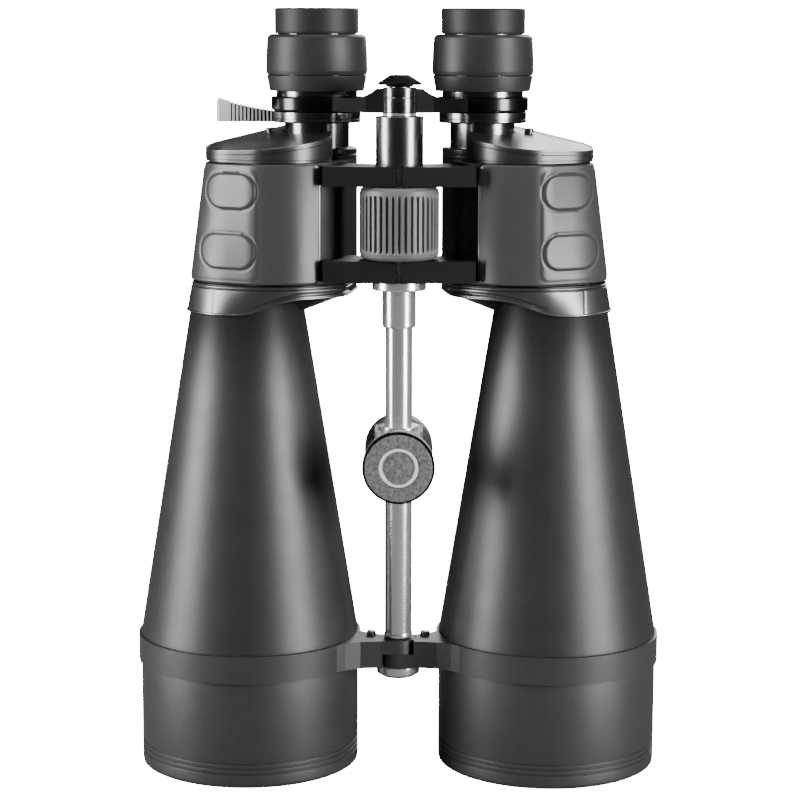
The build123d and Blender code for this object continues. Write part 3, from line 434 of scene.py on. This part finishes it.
def band(side, z0, z1, edge_x, grow, pitch, relief, mat, body, name, node=None, columns=330,
         skirt=1.4):
    """Open sleeve round the housing with rounded corners and edges, and a skirt down to the metal.

    relief(x, y, z) lifts its surface, and edge_x is where its two ends stop.
    """
    verts, faces = [], []
    heights = [z0 + s for s in stations(z1 - z0, pitch)]
    for z in heights:
        # v is the distance from the nearer of bottom and top, u from the nearer end, d from the edge;
        # e is what the rounded corner takes off each end at this height
        v = min(z - z0, z1 - z)
        e = CORNER - math.sqrt(max(0, CORNER ** 2 - (CORNER - v) ** 2)) if v < CORNER else 0
        run, length = open_run(eased(hull_loop(body_circles(z, grow + EASED_BACK)), BAND_EASE), edge_x)
        usable = length[-1] - 2 * e
        wanted = [e + s for s in EDGE]
        count = columns - 2 * len(EDGE)
        inner = usable - 2 * EDGE[-1]
        wanted += [e + EDGE[-1] + inner * k / (count + 1) for k in range(1, count + 1)]
        wanted += [e + usable - s for s in reversed(EDGE)]
        for s, (x, y, nx, ny) in zip(wanted, along(run, length, wanted)):
            u = min(s, length[-1] - s)
            if u < CORNER and v < CORNER:
                d = CORNER - math.hypot(CORNER - u, CORNER - v)
            else:
                d = min(u, v)
            d = max(0.0, d)
            lift = 0.0
            if d < EDGE_ROUND:
                lift = math.sqrt(max(0, EDGE_ROUND ** 2 - (EDGE_ROUND - d) ** 2)) - EDGE_ROUND
            lift += relief(x, y, z)
            verts.append((side * (x + nx * lift), y + ny * lift, z))
    rows, cols = len(heights), columns
    for j in range(rows - 1):
        for i in range(cols - 1):
            a = j * cols + i
            faces.append((a, a + 1, a + cols + 1, a + cols))
    rim = list(range(cols)) + [j * cols + cols - 1 for j in range(1, rows)]
    rim += [(rows - 1) * cols + i for i in range(cols - 2, -1, -1)]
    rim += [j * cols for j in range(rows - 2, 0, -1)]
    base = len(verts)
    for k in rim:
        x, y, z = verts[k]
        dx, dy = abs(x) - HALF_MIDDLE[0], y - HALF_MIDDLE[1]
        far = math.hypot(dx, dy) or 1
        verts.append((side * (abs(x) - dx / far * skirt), y - dy / far * skirt, z))
    for k in range(len(rim)):
        n = (k + 1) % len(rim)
        faces.append((rim[k], rim[n], base + n, base + k))
    return piece(name, verts, faces, mat, body, node, sharp=50)


def bead(name, path, radius, mat, body, around=10, closed=True):
    """Thin round wire along a path."""
    verts, faces = [], []
    count = len(path)
    for k, here in enumerate(path):
        p = Vector(path[k - 1] if closed or k else here)
        q = Vector(path[(k + 1) % count] if closed or k < count - 1 else here)
        run = (q - p).normalized()
        flat = run.cross(Vector((0, 0, 1))).normalized()
        up = flat.cross(run)
        for i in range(around):
            turn = 2 * math.pi * i / around
            verts.append(tuple(Vector(here) + radius * (math.cos(turn) * flat + math.sin(turn) * up)))
    for k in range(count if closed else count - 1):
        a, b = k * around, (k + 1) % count * around
        for i in range(around):
            n = (i + 1) % around
            faces.append((a + i, b + i, b + n, a + n))
    if not closed:
        faces += [tuple(range(around)), tuple(count * around - 1 - i for i in range(around))]
    return piece(name, verts, faces, mat, body, None, sharp=60)


# ---------------------------------------------------------------- armour, nose and rear covers
PADS = ((66.6, 209.0, 10.8), (65.2, 232.3, 9.8))        # thumb pads: x, z and half length of each
PAD_HALF, PAD_CORNER, PAD_RISE = 6.9, 6.2, 0.5
FIELD_X, FIELD_Z = 72.0, 219.4          # raised field that the pads stand on
FIELD_HALF_X, FIELD_HALF_Z, FIELD_RISE = 17.0, 21.2, 0.3
ARMOUR_Z0, ARMOUR_Z1 = 196.4, 242.7
ARMOUR_END_X = 30.7                     # where it stops beside the hinge bars


def notch(x, middle, width):
    """Bell curve that cuts a groove or raises a bead."""
    return math.exp(-((x - middle) / width) ** 2)


def armour_relief(x, y, z):
    """Raised field beyond the ridge, with two raised pads on its front, each in a fine groove."""
    inside = box_distance(x - FIELD_X, z - FIELD_Z, FIELD_HALF_X, FIELD_HALF_Z, 3)
    lift = FIELD_RISE * smooth(0.8, -0.8, inside)
    if y < 0:
        for pad_x, pad_z, half in PADS:
            d = box_distance(x - pad_x, z - pad_z, half, PAD_HALF, PAD_CORNER)
            lift += PAD_RISE * smooth(0.1, -0.9, d) - 0.32 * notch(d, 0.35, 0.45)
    return lift


def plain(x, y, z):
    """No relief."""
    return 0.0


# circles of the nose cover's outline at its lowest, as in body_circles
NOSE_LOW = [(OBJECTIVE_X, 0, 24.15), (62.0, 0, 22.65), (53.5, -18, 6.75), (47.0, -1.4, 23.05),
            (*CORNER_SPOT, 15.85), (*EYEPIECE, 16.65)]
NOSE_LOW_Z, NOSE_TOP = 184.3, 195.7
RIB_DROPS = [0, 0.1, 0.25, 0.4, 0.6, 0.75, 0.95, 1.1, 1.3, 1.45, 1.6, 1.8, 2.1]    # rows of the rib
NOSE_SWEEP = ((36, 190.5), (48, 190.5), (54, NOSE_LOW_Z), (64, NOSE_LOW_Z))     # Bezier, x and z
NOSE_EASE = 7.0
RESAMPLE_SPOT = (48.0, 2.0)
NOSE_SEAM_X = 72.5
UNDERSIDE_R = 19.0      # where the underside ends, inside the barrel
UNDERSIDE_DROP = 8.0    # how far it slopes down beside the barrel


def nose_bottom(x):
    """Height of the nose cover's swept lower edge at x."""
    if x <= NOSE_SWEEP[0][0]:
        return NOSE_SWEEP[0][1]
    if x >= NOSE_SWEEP[3][0]:
        return NOSE_SWEEP[3][1]
    lo, hi = 0.0, 1.0
    for _ in range(24):
        t = (lo + hi) / 2
        weights = ((1 - t) ** 3, 3 * t * (1 - t) ** 2, 3 * t * t * (1 - t), t ** 3)
        if sum(w * p[0] for w, p in zip(weights, NOSE_SWEEP)) < x:
            lo = t
        else:
            hi = t
    return sum(w * p[1] for w, p in zip(weights, NOSE_SWEEP))


def nose_relief(x, v):
    """Rib below the armour with a groove each side, v below the top, and a seam on the flank."""
    lift = -0.35 * notch(v, 0.25, 0.22) + 0.12 * notch(v, 0.85, 0.25) - 0.4 * notch(v, 1.45, 0.22)
    return lift - 0.22 * notch(x, NOSE_SEAM_X, 0.25) * smooth(1.4, 2.4, v)


def by_turn(loop, count=420):
    """Outline resampled at equal turns about a point inside it."""
    ring = sorted((math.atan2(p[1] - RESAMPLE_SPOT[1], p[0] - RESAMPLE_SPOT[0]), p) for p in loop)
    ring.append((ring[0][0] + 2 * math.pi, ring[0][1]))
    out, k = [], 0
    for i in range(count):
        turn = ring[0][0] + 2 * math.pi * i / count
        while ring[k + 1][0] < turn:
            k += 1
        t = (turn - ring[k][0]) / (ring[k + 1][0] - ring[k][0])
        out.append(tuple(a + (b - a) * t for a, b in zip(ring[k][1], ring[k + 1][1])))
    return out


def nose_skin(name, side):
    """Satin band between barrel and housing, with its swept lower lip and its underside."""
    low = by_turn(eased(hull_loop(NOSE_LOW, 30, 26), NOSE_EASE))
    inner = [(*CORNER_SPOT, 15.75), (*EYEPIECE, 16.55)]
    high = by_turn(eased(hull_loop(body_circles(NOSE_TOP, 0.1)[:4] + inner, 30, 26), NOSE_EASE))
    shares = [0.05 * k for k in range(1, 19)] + [0.93, 0.965, 0.985, 1.0]   # rows below the rib
    verts, faces, edge = [], [], []
    for p, q in zip(low, high):
        bottom = nose_bottom(p[0])
        below = NOSE_TOP - bottom - RIB_DROPS[-1]
        levels = [NOSE_TOP - d for d in RIB_DROPS]
        levels += [NOSE_TOP - RIB_DROPS[-1] - below * s for s in shares]
        for z in levels:
            t = (z - NOSE_LOW_Z) / (NOSE_TOP - NOSE_LOW_Z)
            x, y, nx, ny = (a + (b - a) * t for a, b in zip(p, q))
            lift = nose_relief(x, NOSE_TOP - z)
            rise = z - bottom
            lift -= 0.45 * (1 - min(1, rise / 0.45)) ** 2
            if y < 0:
                lift -= 0.7 * notch(rise, 1.9, 0.55) * smooth(58, 55, x)
            verts.append((side * (x + nx * lift), y + ny * lift, z))
        # x, y and the direction are the lowest row's here, where the underside begins
        x, y, nx, ny = (a + (b - a) * t for a, b in zip(p, q))
        inward = UNDERSIDE_R / math.hypot(x - OBJECTIVE_X, y)
        drop = UNDERSIDE_DROP * smooth(50, 38, x) * smooth(-21, -13, y)
        verts.append((side * (x - nx * 1.5), y - ny * 1.5, bottom + 0.02))
        verts.append((side * (OBJECTIVE_X + (x - OBJECTIVE_X) * inward), y * inward,
                      bottom + 0.3 - drop))
        edge.append((side * (x - nx * 0.12), y - ny * 0.12, bottom + 0.3))
    rows = len(RIB_DROPS) + len(shares) + 2
    count = len(low)
    for i in range(count):
        a, b = i * rows, (i + 1) % count * rows
        faces += [(a + k, a + k + 1, b + k + 1, b + k) for k in range(rows - 1)]
    body = f"{name}_half"
    piece(f"{name}_nose_skin", verts, faces, NOSE, body, f"{name}_nose_cover", 40)
    bead(f"{name}_nose_bevel", edge, 0.45, TRIM, body, 10)


GUIDE_CLEAR = 16.7      # the rear cover's wall stops this far from the eyepiece axis


def cover_top(x, y):
    """Height of the rear cover's top, which slopes back and towards the hinge."""
    return 249.0 + 0.11 * (y + 16.0) + 0.10 * (52.5 - x)


def cover_loop(grow, per_arc, per_run):
    """Outline of the rear cover with its corners eased."""
    spots = [(OBJECTIVE_X, 0, 15.95), (52.5, -18, 3.55), (48.0, -0.3, 21.35), (40.0, 26.0, 12.05)]
    return eased(hull_loop([(x, y, r + grow) for x, y, r in spots], per_arc, per_run), 4.0)


def cover_edge(name, side):
    """Polished line round the sloping top of the rear cover."""
    path = [(side * x, y, cover_top(x, y) - 0.08) for x, y, _, _ in cover_loop(0, 24, 20)]
    clear = [math.dist((abs(x), y), EYEPIECE) > GUIDE_CLEAR for x, y, _ in path]
    first = next(k for k in range(len(path)) if clear[k] and not clear[k - 1])
    path = path[first:] + path[:first]
    bead(f"{name}_cover_edge", path[:sum(clear)], 0.4, TRIM, f"{name}_half", 8, False)


def cover_skin(name, side):
    """Wall of the rear cover with a groove below its top and a rolled upper edge."""
    loop = cover_loop(0.35, 30, 24)
    verts, faces = [], []
    for x, y, nx, ny in loop:
        top = cover_top(x, y) + 0.06
        for out, z in ((-1.0, 243.35), (-0.3, 243.35), (-0.3, 244.1), (0, 244.35), (0, 245.0),
                       (0, top - 2.2), (0, top - 1.7), (-0.2, top - 1.55), (0, top - 1.4),
                       (0, top - 0.5), (-0.1, top - 0.2), (-0.35, top), (-0.8, top), (-3.2, top)):
            verts.append((side * (x + nx * out), y + ny * out, z))
    rows = len(verts) // len(loop)
    for i in range(len(loop)):
        a, b = i * rows, (i + 1) % len(loop) * rows
        for k in range(rows - 1):
            quad = (a + k, a + k + 1, b + k + 1, b + k)
            if all(math.dist((abs(verts[v][0]), verts[v][1]), EYEPIECE) > GUIDE_CLEAR for v in quad):
                faces.append(quad)
    piece(f"{name}_cover_wall", verts, faces, COVER, f"{name}_half", sharp=25)


for name, side in SIDES.items():
    half = f"{name}_half"
    band(side, ARMOUR_Z0, ARMOUR_Z1, ARMOUR_END_X, 0.0, 0.5, armour_relief, ARMOUR, half,
         f"{name}_armour_cover", f"{name}_armour")
    band(side, ARMOUR_Z0 - 0.2, ARMOUR_Z1 + 0.2, ARMOUR_END_X - 0.5, -0.75, 2.0, plain, TRIM, half,
         f"{name}_armour_edge", None, 260, 0.9)
    nose_skin(name, side)
    cover_skin(name, side)
    cover_edge(name, side)

# ---------------------------------------------------------------- barrels and cells
# profiles here and below: radius, height and, where there is a third value, the fillet at that corner
CELL_PROFILE = rounded((
    (42.2, 0), (42.9, 0, 0.3), (43.7, 0.5, 0.4), (43.9, 1.6, 0.8), (43.9, 5.25, 0.15), (43.45, 5.4),
    (43.45, 5.8), (43.9, 5.95, 0.15), (43.9, 7.35, 0.15), (43.45, 7.5), (43.45, 7.9),
    (43.9, 8.05, 0.15), (43.9, 9.45, 0.15), (43.45, 9.6), (43.45, 10.0), (43.9, 10.15, 0.15),
    (43.9, 42.4, 0.2), (42.05, 42.4), (42.05, 34), (39.4, 34), (39.4, 28), (41.05, 28), (41.05, 13),
    (42.2, 11)))
BARREL_PROFILE = split(rounded((
    (43.3, 42.6), (43.3, 53.4), (43.85, 53.5, 0.15), (43.7, 54.6, 0.6), (22.12, 188.0, 0.5),
    (19.6, 190.0, 0.3), (17.4, 190.0), (17.4, 193.4), (15.6, 193.4), (15.6, 188.0), (20.3, 187.9),
    (41.4, 55.6), (40.2, 53.4), (40.2, 42.6))), 12)

for name, side in SIDES.items():
    half = f"{name}_half"
    spot = (side * OBJECTIVE_X, 0)
    turned(f"{name}_cell_shell", spot, CELL_PROFILE, CELL, half,
           f"{name}_objective_cell", 192)
    turned(f"{name}_barrel_shell", spot, BARREL_PROFILE, PAINT, half,
           f"{name}_barrel", 192)

# ---------------------------------------------------------------- eyepieces
CUP_PROFILE = rounded((
    (15.5, 292.55), (16.5, 292.55, 0.3), (16.75, 293.6, 0.6), (16.8, 302.75, 1.1), (14.7, 302.75, 0.7),
    (14.2, 301.6, 0.8), (13.6, 296.0, 0.8), (12.4, 295.6, 0.3), (12.4, 294.25), (15.5, 294.25)))
GRIP_PROFILE = rounded((
    (15.6, 276.4), (20.0, 276.4, 0.25), (20.35, 278.0, 1.2), (20.2, 284.5, 6), (19.75, 291.4, 1.0),
    (18.3, 292.4, 0.7), (15.6, 292.4)), 7)
BASE_PROFILE = rounded((
    (15.6, 269.95), (18.9, 269.95, 0.5), (20.05, 276.2, 0.35), (15.6, 276.2)))
TUBE_PROFILE = rounded((
    (12.0, 238.0), (13.0, 238.0), (13.0, 262.3), (15.0, 262.3), (15.0, 267.7), (16.2, 267.7, 0.2),
    (16.2, 269.9), (15.5, 269.9), (15.5, 294.0), (13.5, 294.0), (13.5, 277.5), (12.0, 277.5)))
RING_PROFILE = rounded((
    (13.1, 257.4), (17.3, 257.4, 0.3), (17.6, 258.0, 0.3), (17.6, 258.7, 0.1), (17.4, 258.8),
    (17.4, 259.0), (17.6, 259.1, 0.1), (17.6, 261.6, 0.3), (17.2, 262.1, 0.3), (13.1, 262.1)))
GUIDE_PROFILE = rounded((
    (13.1, 226.0), (14.0, 226.0), (14.0, 243.25), (16.2, 243.25, 0.3), (16.2, 244.6, 0.2),
    (15.9, 244.9), (16.2, 245.2, 0.2), (16.2, 247.0, 0.4), (15.4, 247.5, 0.3), (13.1, 247.5)))

for name, side in SIDES.items():
    half, ocular, zoom = f"{name}_half", f"{name}_ocular", f"{name}_zoom"
    spot = (side * EYEPIECE[0], EYEPIECE[1])
    turned(f"{name}_cup", spot, CUP_PROFILE, CUP, ocular, f"{name}_eyecup")
    grip_node, grip_body = (("left_grip_ring", "left_ocular") if side < 0
                            else ("right_diopter_ring", "diopter"))
    turned(f"{name}_grip", spot, split(GRIP_PROFILE, 3), GRIP, grip_body, grip_node)
    turned(f"{name}_grip_base", spot, BASE_PROFILE, GRIP, ocular)
    turned(f"{name}_draw_tube", spot, TUBE_PROFILE, TUBE, ocular,
           f"{name}_eyepiece_tube")
    turned(f"{name}_zoom_band", spot, RING_PROFILE, TUBE, zoom,
           f"{name}_zoom_ring")
    turned(f"{name}_guide_collar", spot, GUIDE_PROFILE, ANODISED, half,
           f"{name}_eyepiece_guide")

# zoom lever, from its tip to its root, with deep grooves between narrow ribs
LEVER_TIP_X, LEVER_ROOT_X = -73.2, -47.4
LEVER_TOP, LEVER_BOTTOM = 267.1, 257.45
LEVER_FALL, LEVER_RUN = 5.0, 23.2       # its top edge falls by one over the other
LEVER_HALF, GROOVE_HALF = 1.5, 0.5      # half its thickness on a rib and in a groove
GROOVES, GROOVE_PITCH, GROOVE_WIDTH = 13, 1.5, 0.62


def loft(name, sections, mat):
    """Bar through sections with the same number of points each, closed at both ends."""
    count = len(sections[0])
    verts = [point for section in sections for point in section]
    faces = [tuple(range(count - 1, -1, -1)), tuple(len(verts) - count + i for i in range(count))]
    for k in range(len(sections) - 1):
        for i in range(count):
            n = (i + 1) % count
            a, b = k * count, (k + 1) * count
            faces.append((a + i, a + n, b + n, b + i))
    piece(name, verts, faces, mat, "left_zoom", sharp=25)


def lever_section(x, half):
    """Eight-sided section of the lever at x, half its thickness on each side."""
    s = min(1, (x - LEVER_TIP_X) / LEVER_RUN)
    top = LEVER_TOP - LEVER_FALL * s - 0.55 * math.sin(math.pi * s) - 0.4 * (LEVER_HALF - half)
    low = LEVER_BOTTOM
    corners = ((-half, low + 0.25), (-half + 0.25, low), (half - 0.25, low), (half, low + 0.25),
               (half, top - 0.35), (half - 0.3, top), (-half + 0.3, top), (-half, top - 0.35))
    return [(x, EYEPIECE[1] + y, z) for y, z in corners]


def shade_plate_section(x):
    """Black plate inside the lever, seen at the bottom of its grooves and as a thin line at its tip:
    painted shade.
    """
    top = LEVER_TOP - 1.2 - LEVER_FALL * min(1, (x - LEVER_TIP_X) / LEVER_RUN)
    low, half = LEVER_BOTTOM + 0.15, 0.9
    return [(x, EYEPIECE[1] + y, z) for y, z in ((-half, low), (half, low), (half, top), (-half, top))]


# places along x, each with half the thickness there
stops = [(LEVER_TIP_X, 1.2), (LEVER_TIP_X + 0.35, LEVER_HALF), (LEVER_TIP_X + 4.9, LEVER_HALF)]
for k in range(GROOVES):
    begin = LEVER_TIP_X + 5.3 + GROOVE_PITCH * k
    width = GROOVE_WIDTH + 0.03 * k
    stops += [(begin, LEVER_HALF), (begin + 0.1, GROOVE_HALF), (begin + width - 0.1, GROOVE_HALF),
              (begin + width, LEVER_HALF)]
stops.append((LEVER_ROOT_X, LEVER_HALF))
loft("zoom_lever", [lever_section(x, half) for x, half in stops], LEVER)
# black plate inside the lever: painted shade in its grooves and along its tip
loft("lever_shade_plate", [shade_plate_section(LEVER_TIP_X - 0.45), shade_plate_section(LEVER_ROOT_X - 0.2)], ARM)

# ---------------------------------------------------------------- focusing
RIBS = 40
STEPS_PER_RIB = 14
RIB_DEPTH = 1.0
RIB_FROM_R = 15.0       # the grip's rolled ends stay plain inside this radius


def wheel_grooves(turn, r, z):
    """Cut grooves between rounded ribs round the middle of the wheel."""
    if r < RIB_FROM_R:
        return r
    phase = turn * RIBS / (2 * math.pi) % 1
    across = abs(phase - 0.5) * 2
    painted_shade = smooth(208.7, 209.6, z) * smooth(231.3, 230.4, z)
    return r - RIB_DEPTH * painted_shade * smooth(0.42, 0.72, across)


WHEEL_PROFILE = split(rounded((
    (13.2, 205.95), (13.9, 205.95, 0.3), (15.2, 207.0, 1.2), (15.6, 208.6, 1.2), (15.6, 231.4, 1.2),
    (15.2, 233.0, 1.2), (13.9, 234.05, 0.3), (13.2, 234.05)), 6), 1.0)
turned("wheel_grip", HINGE, WHEEL_PROFILE, WHEEL, "focus_wheel",
       "focus_wheel_grip", RIBS * STEPS_PER_RIB, wheel_grooves, sharp=60)
CAP_PROFILE = rounded((
    (0, 277.1), (3.7, 277.1, 0.5), (8.5, 274.0, 0.25), (8.5, 273.25, 0.15), (5.2, 273.2),
    (5.2, 272.5), (3.05, 272.5), (3.05, 275.5), (0, 275.5)))
turned("cap_cone", HINGE, CAP_PROFILE, ARM, "left_ocular", "spindle_cap")
SLEEVE_PROFILE = rounded((
    (9.1, 241.6), (9.3, 241.6, 0.1), (9.3, 261.15, 0.3), (4.6, 261.15), (4.6, 261.0), (9.1, 261.0)))
turned("upper_sleeve", HINGE, SLEEVE_PROFILE, DARK_CHROME, "left_half")
HUB_RING = rounded(((6.36, 261.3), (6.6, 261.4), (6.6, 262.4, 0.1), (6.36, 262.5)))
turned("hub_glint", HINGE, HUB_RING, CHROME, "left_ocular")


def thin_ring(inner, outer, z0, z1):
    """Profile of a thin ring with its outer edges rounded."""
    return rounded(((inner, z0), (outer, z0, 0.12), (outer, z1, 0.12), (inner, z1)))


for name, z0, z1 in (("left", 262.7, 268.2), ("right", 268.4, 272.1)):
    turned(f"{name}_hub_sleeve", HINGE, thin_ring(6.3, 6.55, z0, z1), TUBE, f"{name}_ocular")
for name, side in SIDES.items():
    turned(f"{name}_arm_band", (side * EYEPIECE[0], EYEPIECE[1]), thin_ring(18.1, 18.3, 262.75, 267.2),
           GLOSS, f"{name}_ocular")

# ---------------------------------------------------------------- rod, nut and bridge screws
ROD_PROFILE = rounded((
    (0, 38.8), (3.0, 38.8), (3.0, 53.5), (4.4, 53.5), (5.7, 54.2, 0.3), (5.7, 55.1, 0.3),
    (5.35, 55.9, 0.2), (5.35, 186.0), (0, 186.0)))
turned("rod_shaft", HINGE, ROD_PROFILE, CHROME, "left_half", "tripod_rod")
NUT_PROFILE = rounded((
    (0, 38.0), (6.5, 38.0, 0.8), (8.6, 39.4, 0.5), (8.6, 42.3, 0.2), (3.05, 42.3), (3.05, 38.9),
    (0, 38.9)))
turned("nut_cap", HINGE, NUT_PROFILE, CHROME, "left_half", "rod_cap_nut")
COLLAR_PROFILE = rounded((
    (5.38, 178.8), (6.1, 178.8, 0.3), (6.6, 179.4, 0.3), (6.6, 193.7, 0.2), (10.5, 193.7, 0.3),
    (10.6, 194.3, 0.2), (10.6, 197.0), (6.95, 197.0), (6.95, 194.2), (0, 194.2), (0, 186.05),
    (5.38, 186.05)))
turned("collar_sleeve", HINGE, COLLAR_PROFILE, CHROME, "left_half", "rod_collar")
SCREW_PROFILE = rounded(((0, 53.3), (1.9, 53.3), (1.9, 55.2, 0.5), (0, 55.6)))
for name, side in SIDES.items():
    turned(f"{name}_bridge_screw", (side * 10.8, -9.5), SCREW_PROFILE, STEEL, f"{name}_half",
           segments=40)

# ---------------------------------------------------------------- clamp knob and foot
KNURLS, KNURL_DEPTH = 90, 0.28
KNURL_FROM_R = 13.6


def knurl(turn, r, y):
    """Fine straight knurl round the knob's edge."""
    if r < KNURL_FROM_R:
        return r
    return r - KNURL_DEPTH * abs(math.sin(turn * KNURLS / 2)) ** 0.7 * smooth(-40.7, -40.1, y)


KNOB_PROFILE = split(rounded((
    (0, -40.55), (6.1, -40.55), (6.4, -40.75), (6.7, -40.3), (7.7, -40.3), (8.0, -40.8, 0.1),
    (12.9, -40.95, 0.2), (13.7, -40.7, 0.3), (14.0, -40.2, 0.2), (14.0, -33.0, 0.3),
    (13.4, -32.5, 0.3), (8.0, -32.5), (8.0, -23.35), (3.0, -23.35), (3.0, -20.4), (0, -20.4))), 2.5)
turned("knob_head", CLAMP, KNOB_PROFILE, BLASTED, "lock_knob", "lock_knob",
       360, knurl, "Y")
RING_BEAD = rounded(((6.4, -40.3), (6.6, -41.15, 0.25), (7.5, -41.15, 0.25), (7.7, -40.3)))
turned("knob_ring", CLAMP, RING_BEAD, AXLE, "lock_knob", axis="Y")
# black ring over the knob's outer edge: painted shade along its rim
KNOB_SHADE_PROFILE = rounded(((13.2, -40.95), (13.6, -40.95), (14.08, -40.4, 0.2), (14.08, -38.6),
                       (13.2, -38.6)))
turned("knob_rim_shade", CLAMP, KNOB_SHADE_PROFILE, ARM, "lock_knob", axis="Y")
FOOT_RIM = rounded(((12.9, 0.6), (13.7, 0.6, 0.3), (13.7, 2.2, 0.3), (13.3, 2.6), (13.3, 7.0),
                    (13.7, 7.4, 0.3), (13.7, 8.9, 0.3), (12.9, 8.9)))
turned("foot_rim", CLAMP, FOOT_RIM, BLASTED, "clamp", axis="Y")

# ---------------------------------------------------------------- studio
BACKDROP = 30.0      # brightness of the white room as the camera sees it
ROOM = 0.06          # and as the object's surfaces see it, as if flagged with black cloth
FLOOR_GLOW = 27.0    # lights the floor evenly for the camera
SPAN = 60.0          # half the floor's width, metres


def stage_floor():
    """Pale floor: near white to the camera, dark to the object's reflections."""
    mat = bpy.data.materials.new("pale_floor")
    mat.use_nodes = True
    tree = mat.node_tree
    pale = tree.nodes["Principled BSDF"]        # what the camera sees
    pale.inputs["Base Color"].default_value = (0.86, 0.86, 0.86, 1)
    pale.inputs["Roughness"].default_value = 0.8
    pale.inputs["Specular IOR Level"].default_value = 0.1
    pale.inputs["Emission Color"].default_value = (1, 1, 1, 1)
    pale.inputs["Emission Strength"].default_value = FLOOR_GLOW
    deep = tree.nodes.new("ShaderNodeBsdfDiffuse")
    deep.inputs["Color"].default_value = (0.12, 0.12, 0.12, 1)
    rays = tree.nodes.new("ShaderNodeLightPath")
    pick = tree.nodes.new("ShaderNodeMixShader")
    tree.links.new(rays.outputs["Is Camera Ray"], pick.inputs["Fac"])
    tree.links.new(deep.outputs["BSDF"], pick.inputs[1])
    tree.links.new(pale.outputs["BSDF"], pick.inputs[2])
    tree.links.new(pick.outputs["Shader"], tree.nodes["Material Output"].inputs["Surface"])
    return mat


floor_mesh = bpy.data.meshes.new("floor")
floor_mesh.from_pydata([(-SPAN, -SPAN, 0), (SPAN, -SPAN, 0), (SPAN, SPAN, 0), (-SPAN, SPAN, 0)], [],
                       [(0, 1, 2, 3)])
floor = bpy.data.objects.new("floor", floor_mesh)
bpy.context.collection.objects.link(floor)
dress(floor, stage_floor())

world = bpy.data.worlds.new("studio")
bpy.context.scene.world = world
world.use_nodes = True
tree = world.node_tree
seen = tree.nodes["Background"]
seen.inputs["Color"].default_value = (1, 1, 1, 1)
seen.inputs["Strength"].default_value = BACKDROP
dark = tree.nodes.new("ShaderNodeBackground")
dark.inputs["Color"].default_value = (1, 1, 1, 1)
dark.inputs["Strength"].default_value = ROOM
rays = tree.nodes.new("ShaderNodeLightPath")
pick = tree.nodes.new("ShaderNodeMixShader")
tree.links.new(rays.outputs["Is Camera Ray"], pick.inputs["Fac"])
tree.links.new(dark.outputs["Background"], pick.inputs[1])
tree.links.new(seen.outputs["Background"], pick.inputs[2])
tree.links.new(pick.outputs["Shader"], tree.nodes["World Output"].inputs["Surface"])


def softbox(name, spot, aim, width, height, watts):
    """Rectangular area light at spot, facing aim."""
    lamp = bpy.data.lights.new(name, "AREA")
    lamp.shape = "RECTANGLE"
    lamp.size, lamp.size_y = width, height
    lamp.energy = watts
    obj = bpy.data.objects.new(name, lamp)
    bpy.context.collection.objects.link(obj)
    obj.location = spot
    obj.rotation_euler = (Vector(aim) - Vector(spot)).to_track_quat("-Z", "Y").to_euler()


softbox("key_left", (-0.78, -0.2, 0.2), (0, 0, 0.16), 0.3, 1.0, 22)
softbox("key_right", (0.84, -0.56, 0.2), (0, 0, 0.16), 0.34, 1.1, 34)
softbox("top", (0, 0.1, 1.3), (0, 0, 0.2), 0.9, 0.7, 7)
softbox("back", (0.35, 1.1, 0.75), (0, 0, 0.16), 0.8, 0.8, 12)

camera = bpy.data.objects.new("camera", bpy.data.cameras.new("camera"))
bpy.context.collection.objects.link(camera)
camera.data.sensor_width, camera.data.lens = 36, 106.7      # millimetres
camera.location = (0.0018, -0.9378, 0.29805)
LOOK_DOWN, ROLL, LOOK_LEFT = 9.108, -0.16, 0.108            # degrees
camera.rotation_euler = (math.radians(90 - LOOK_DOWN), math.radians(ROLL), math.radians(LOOK_LEFT))
bpy.context.scene.camera = camera
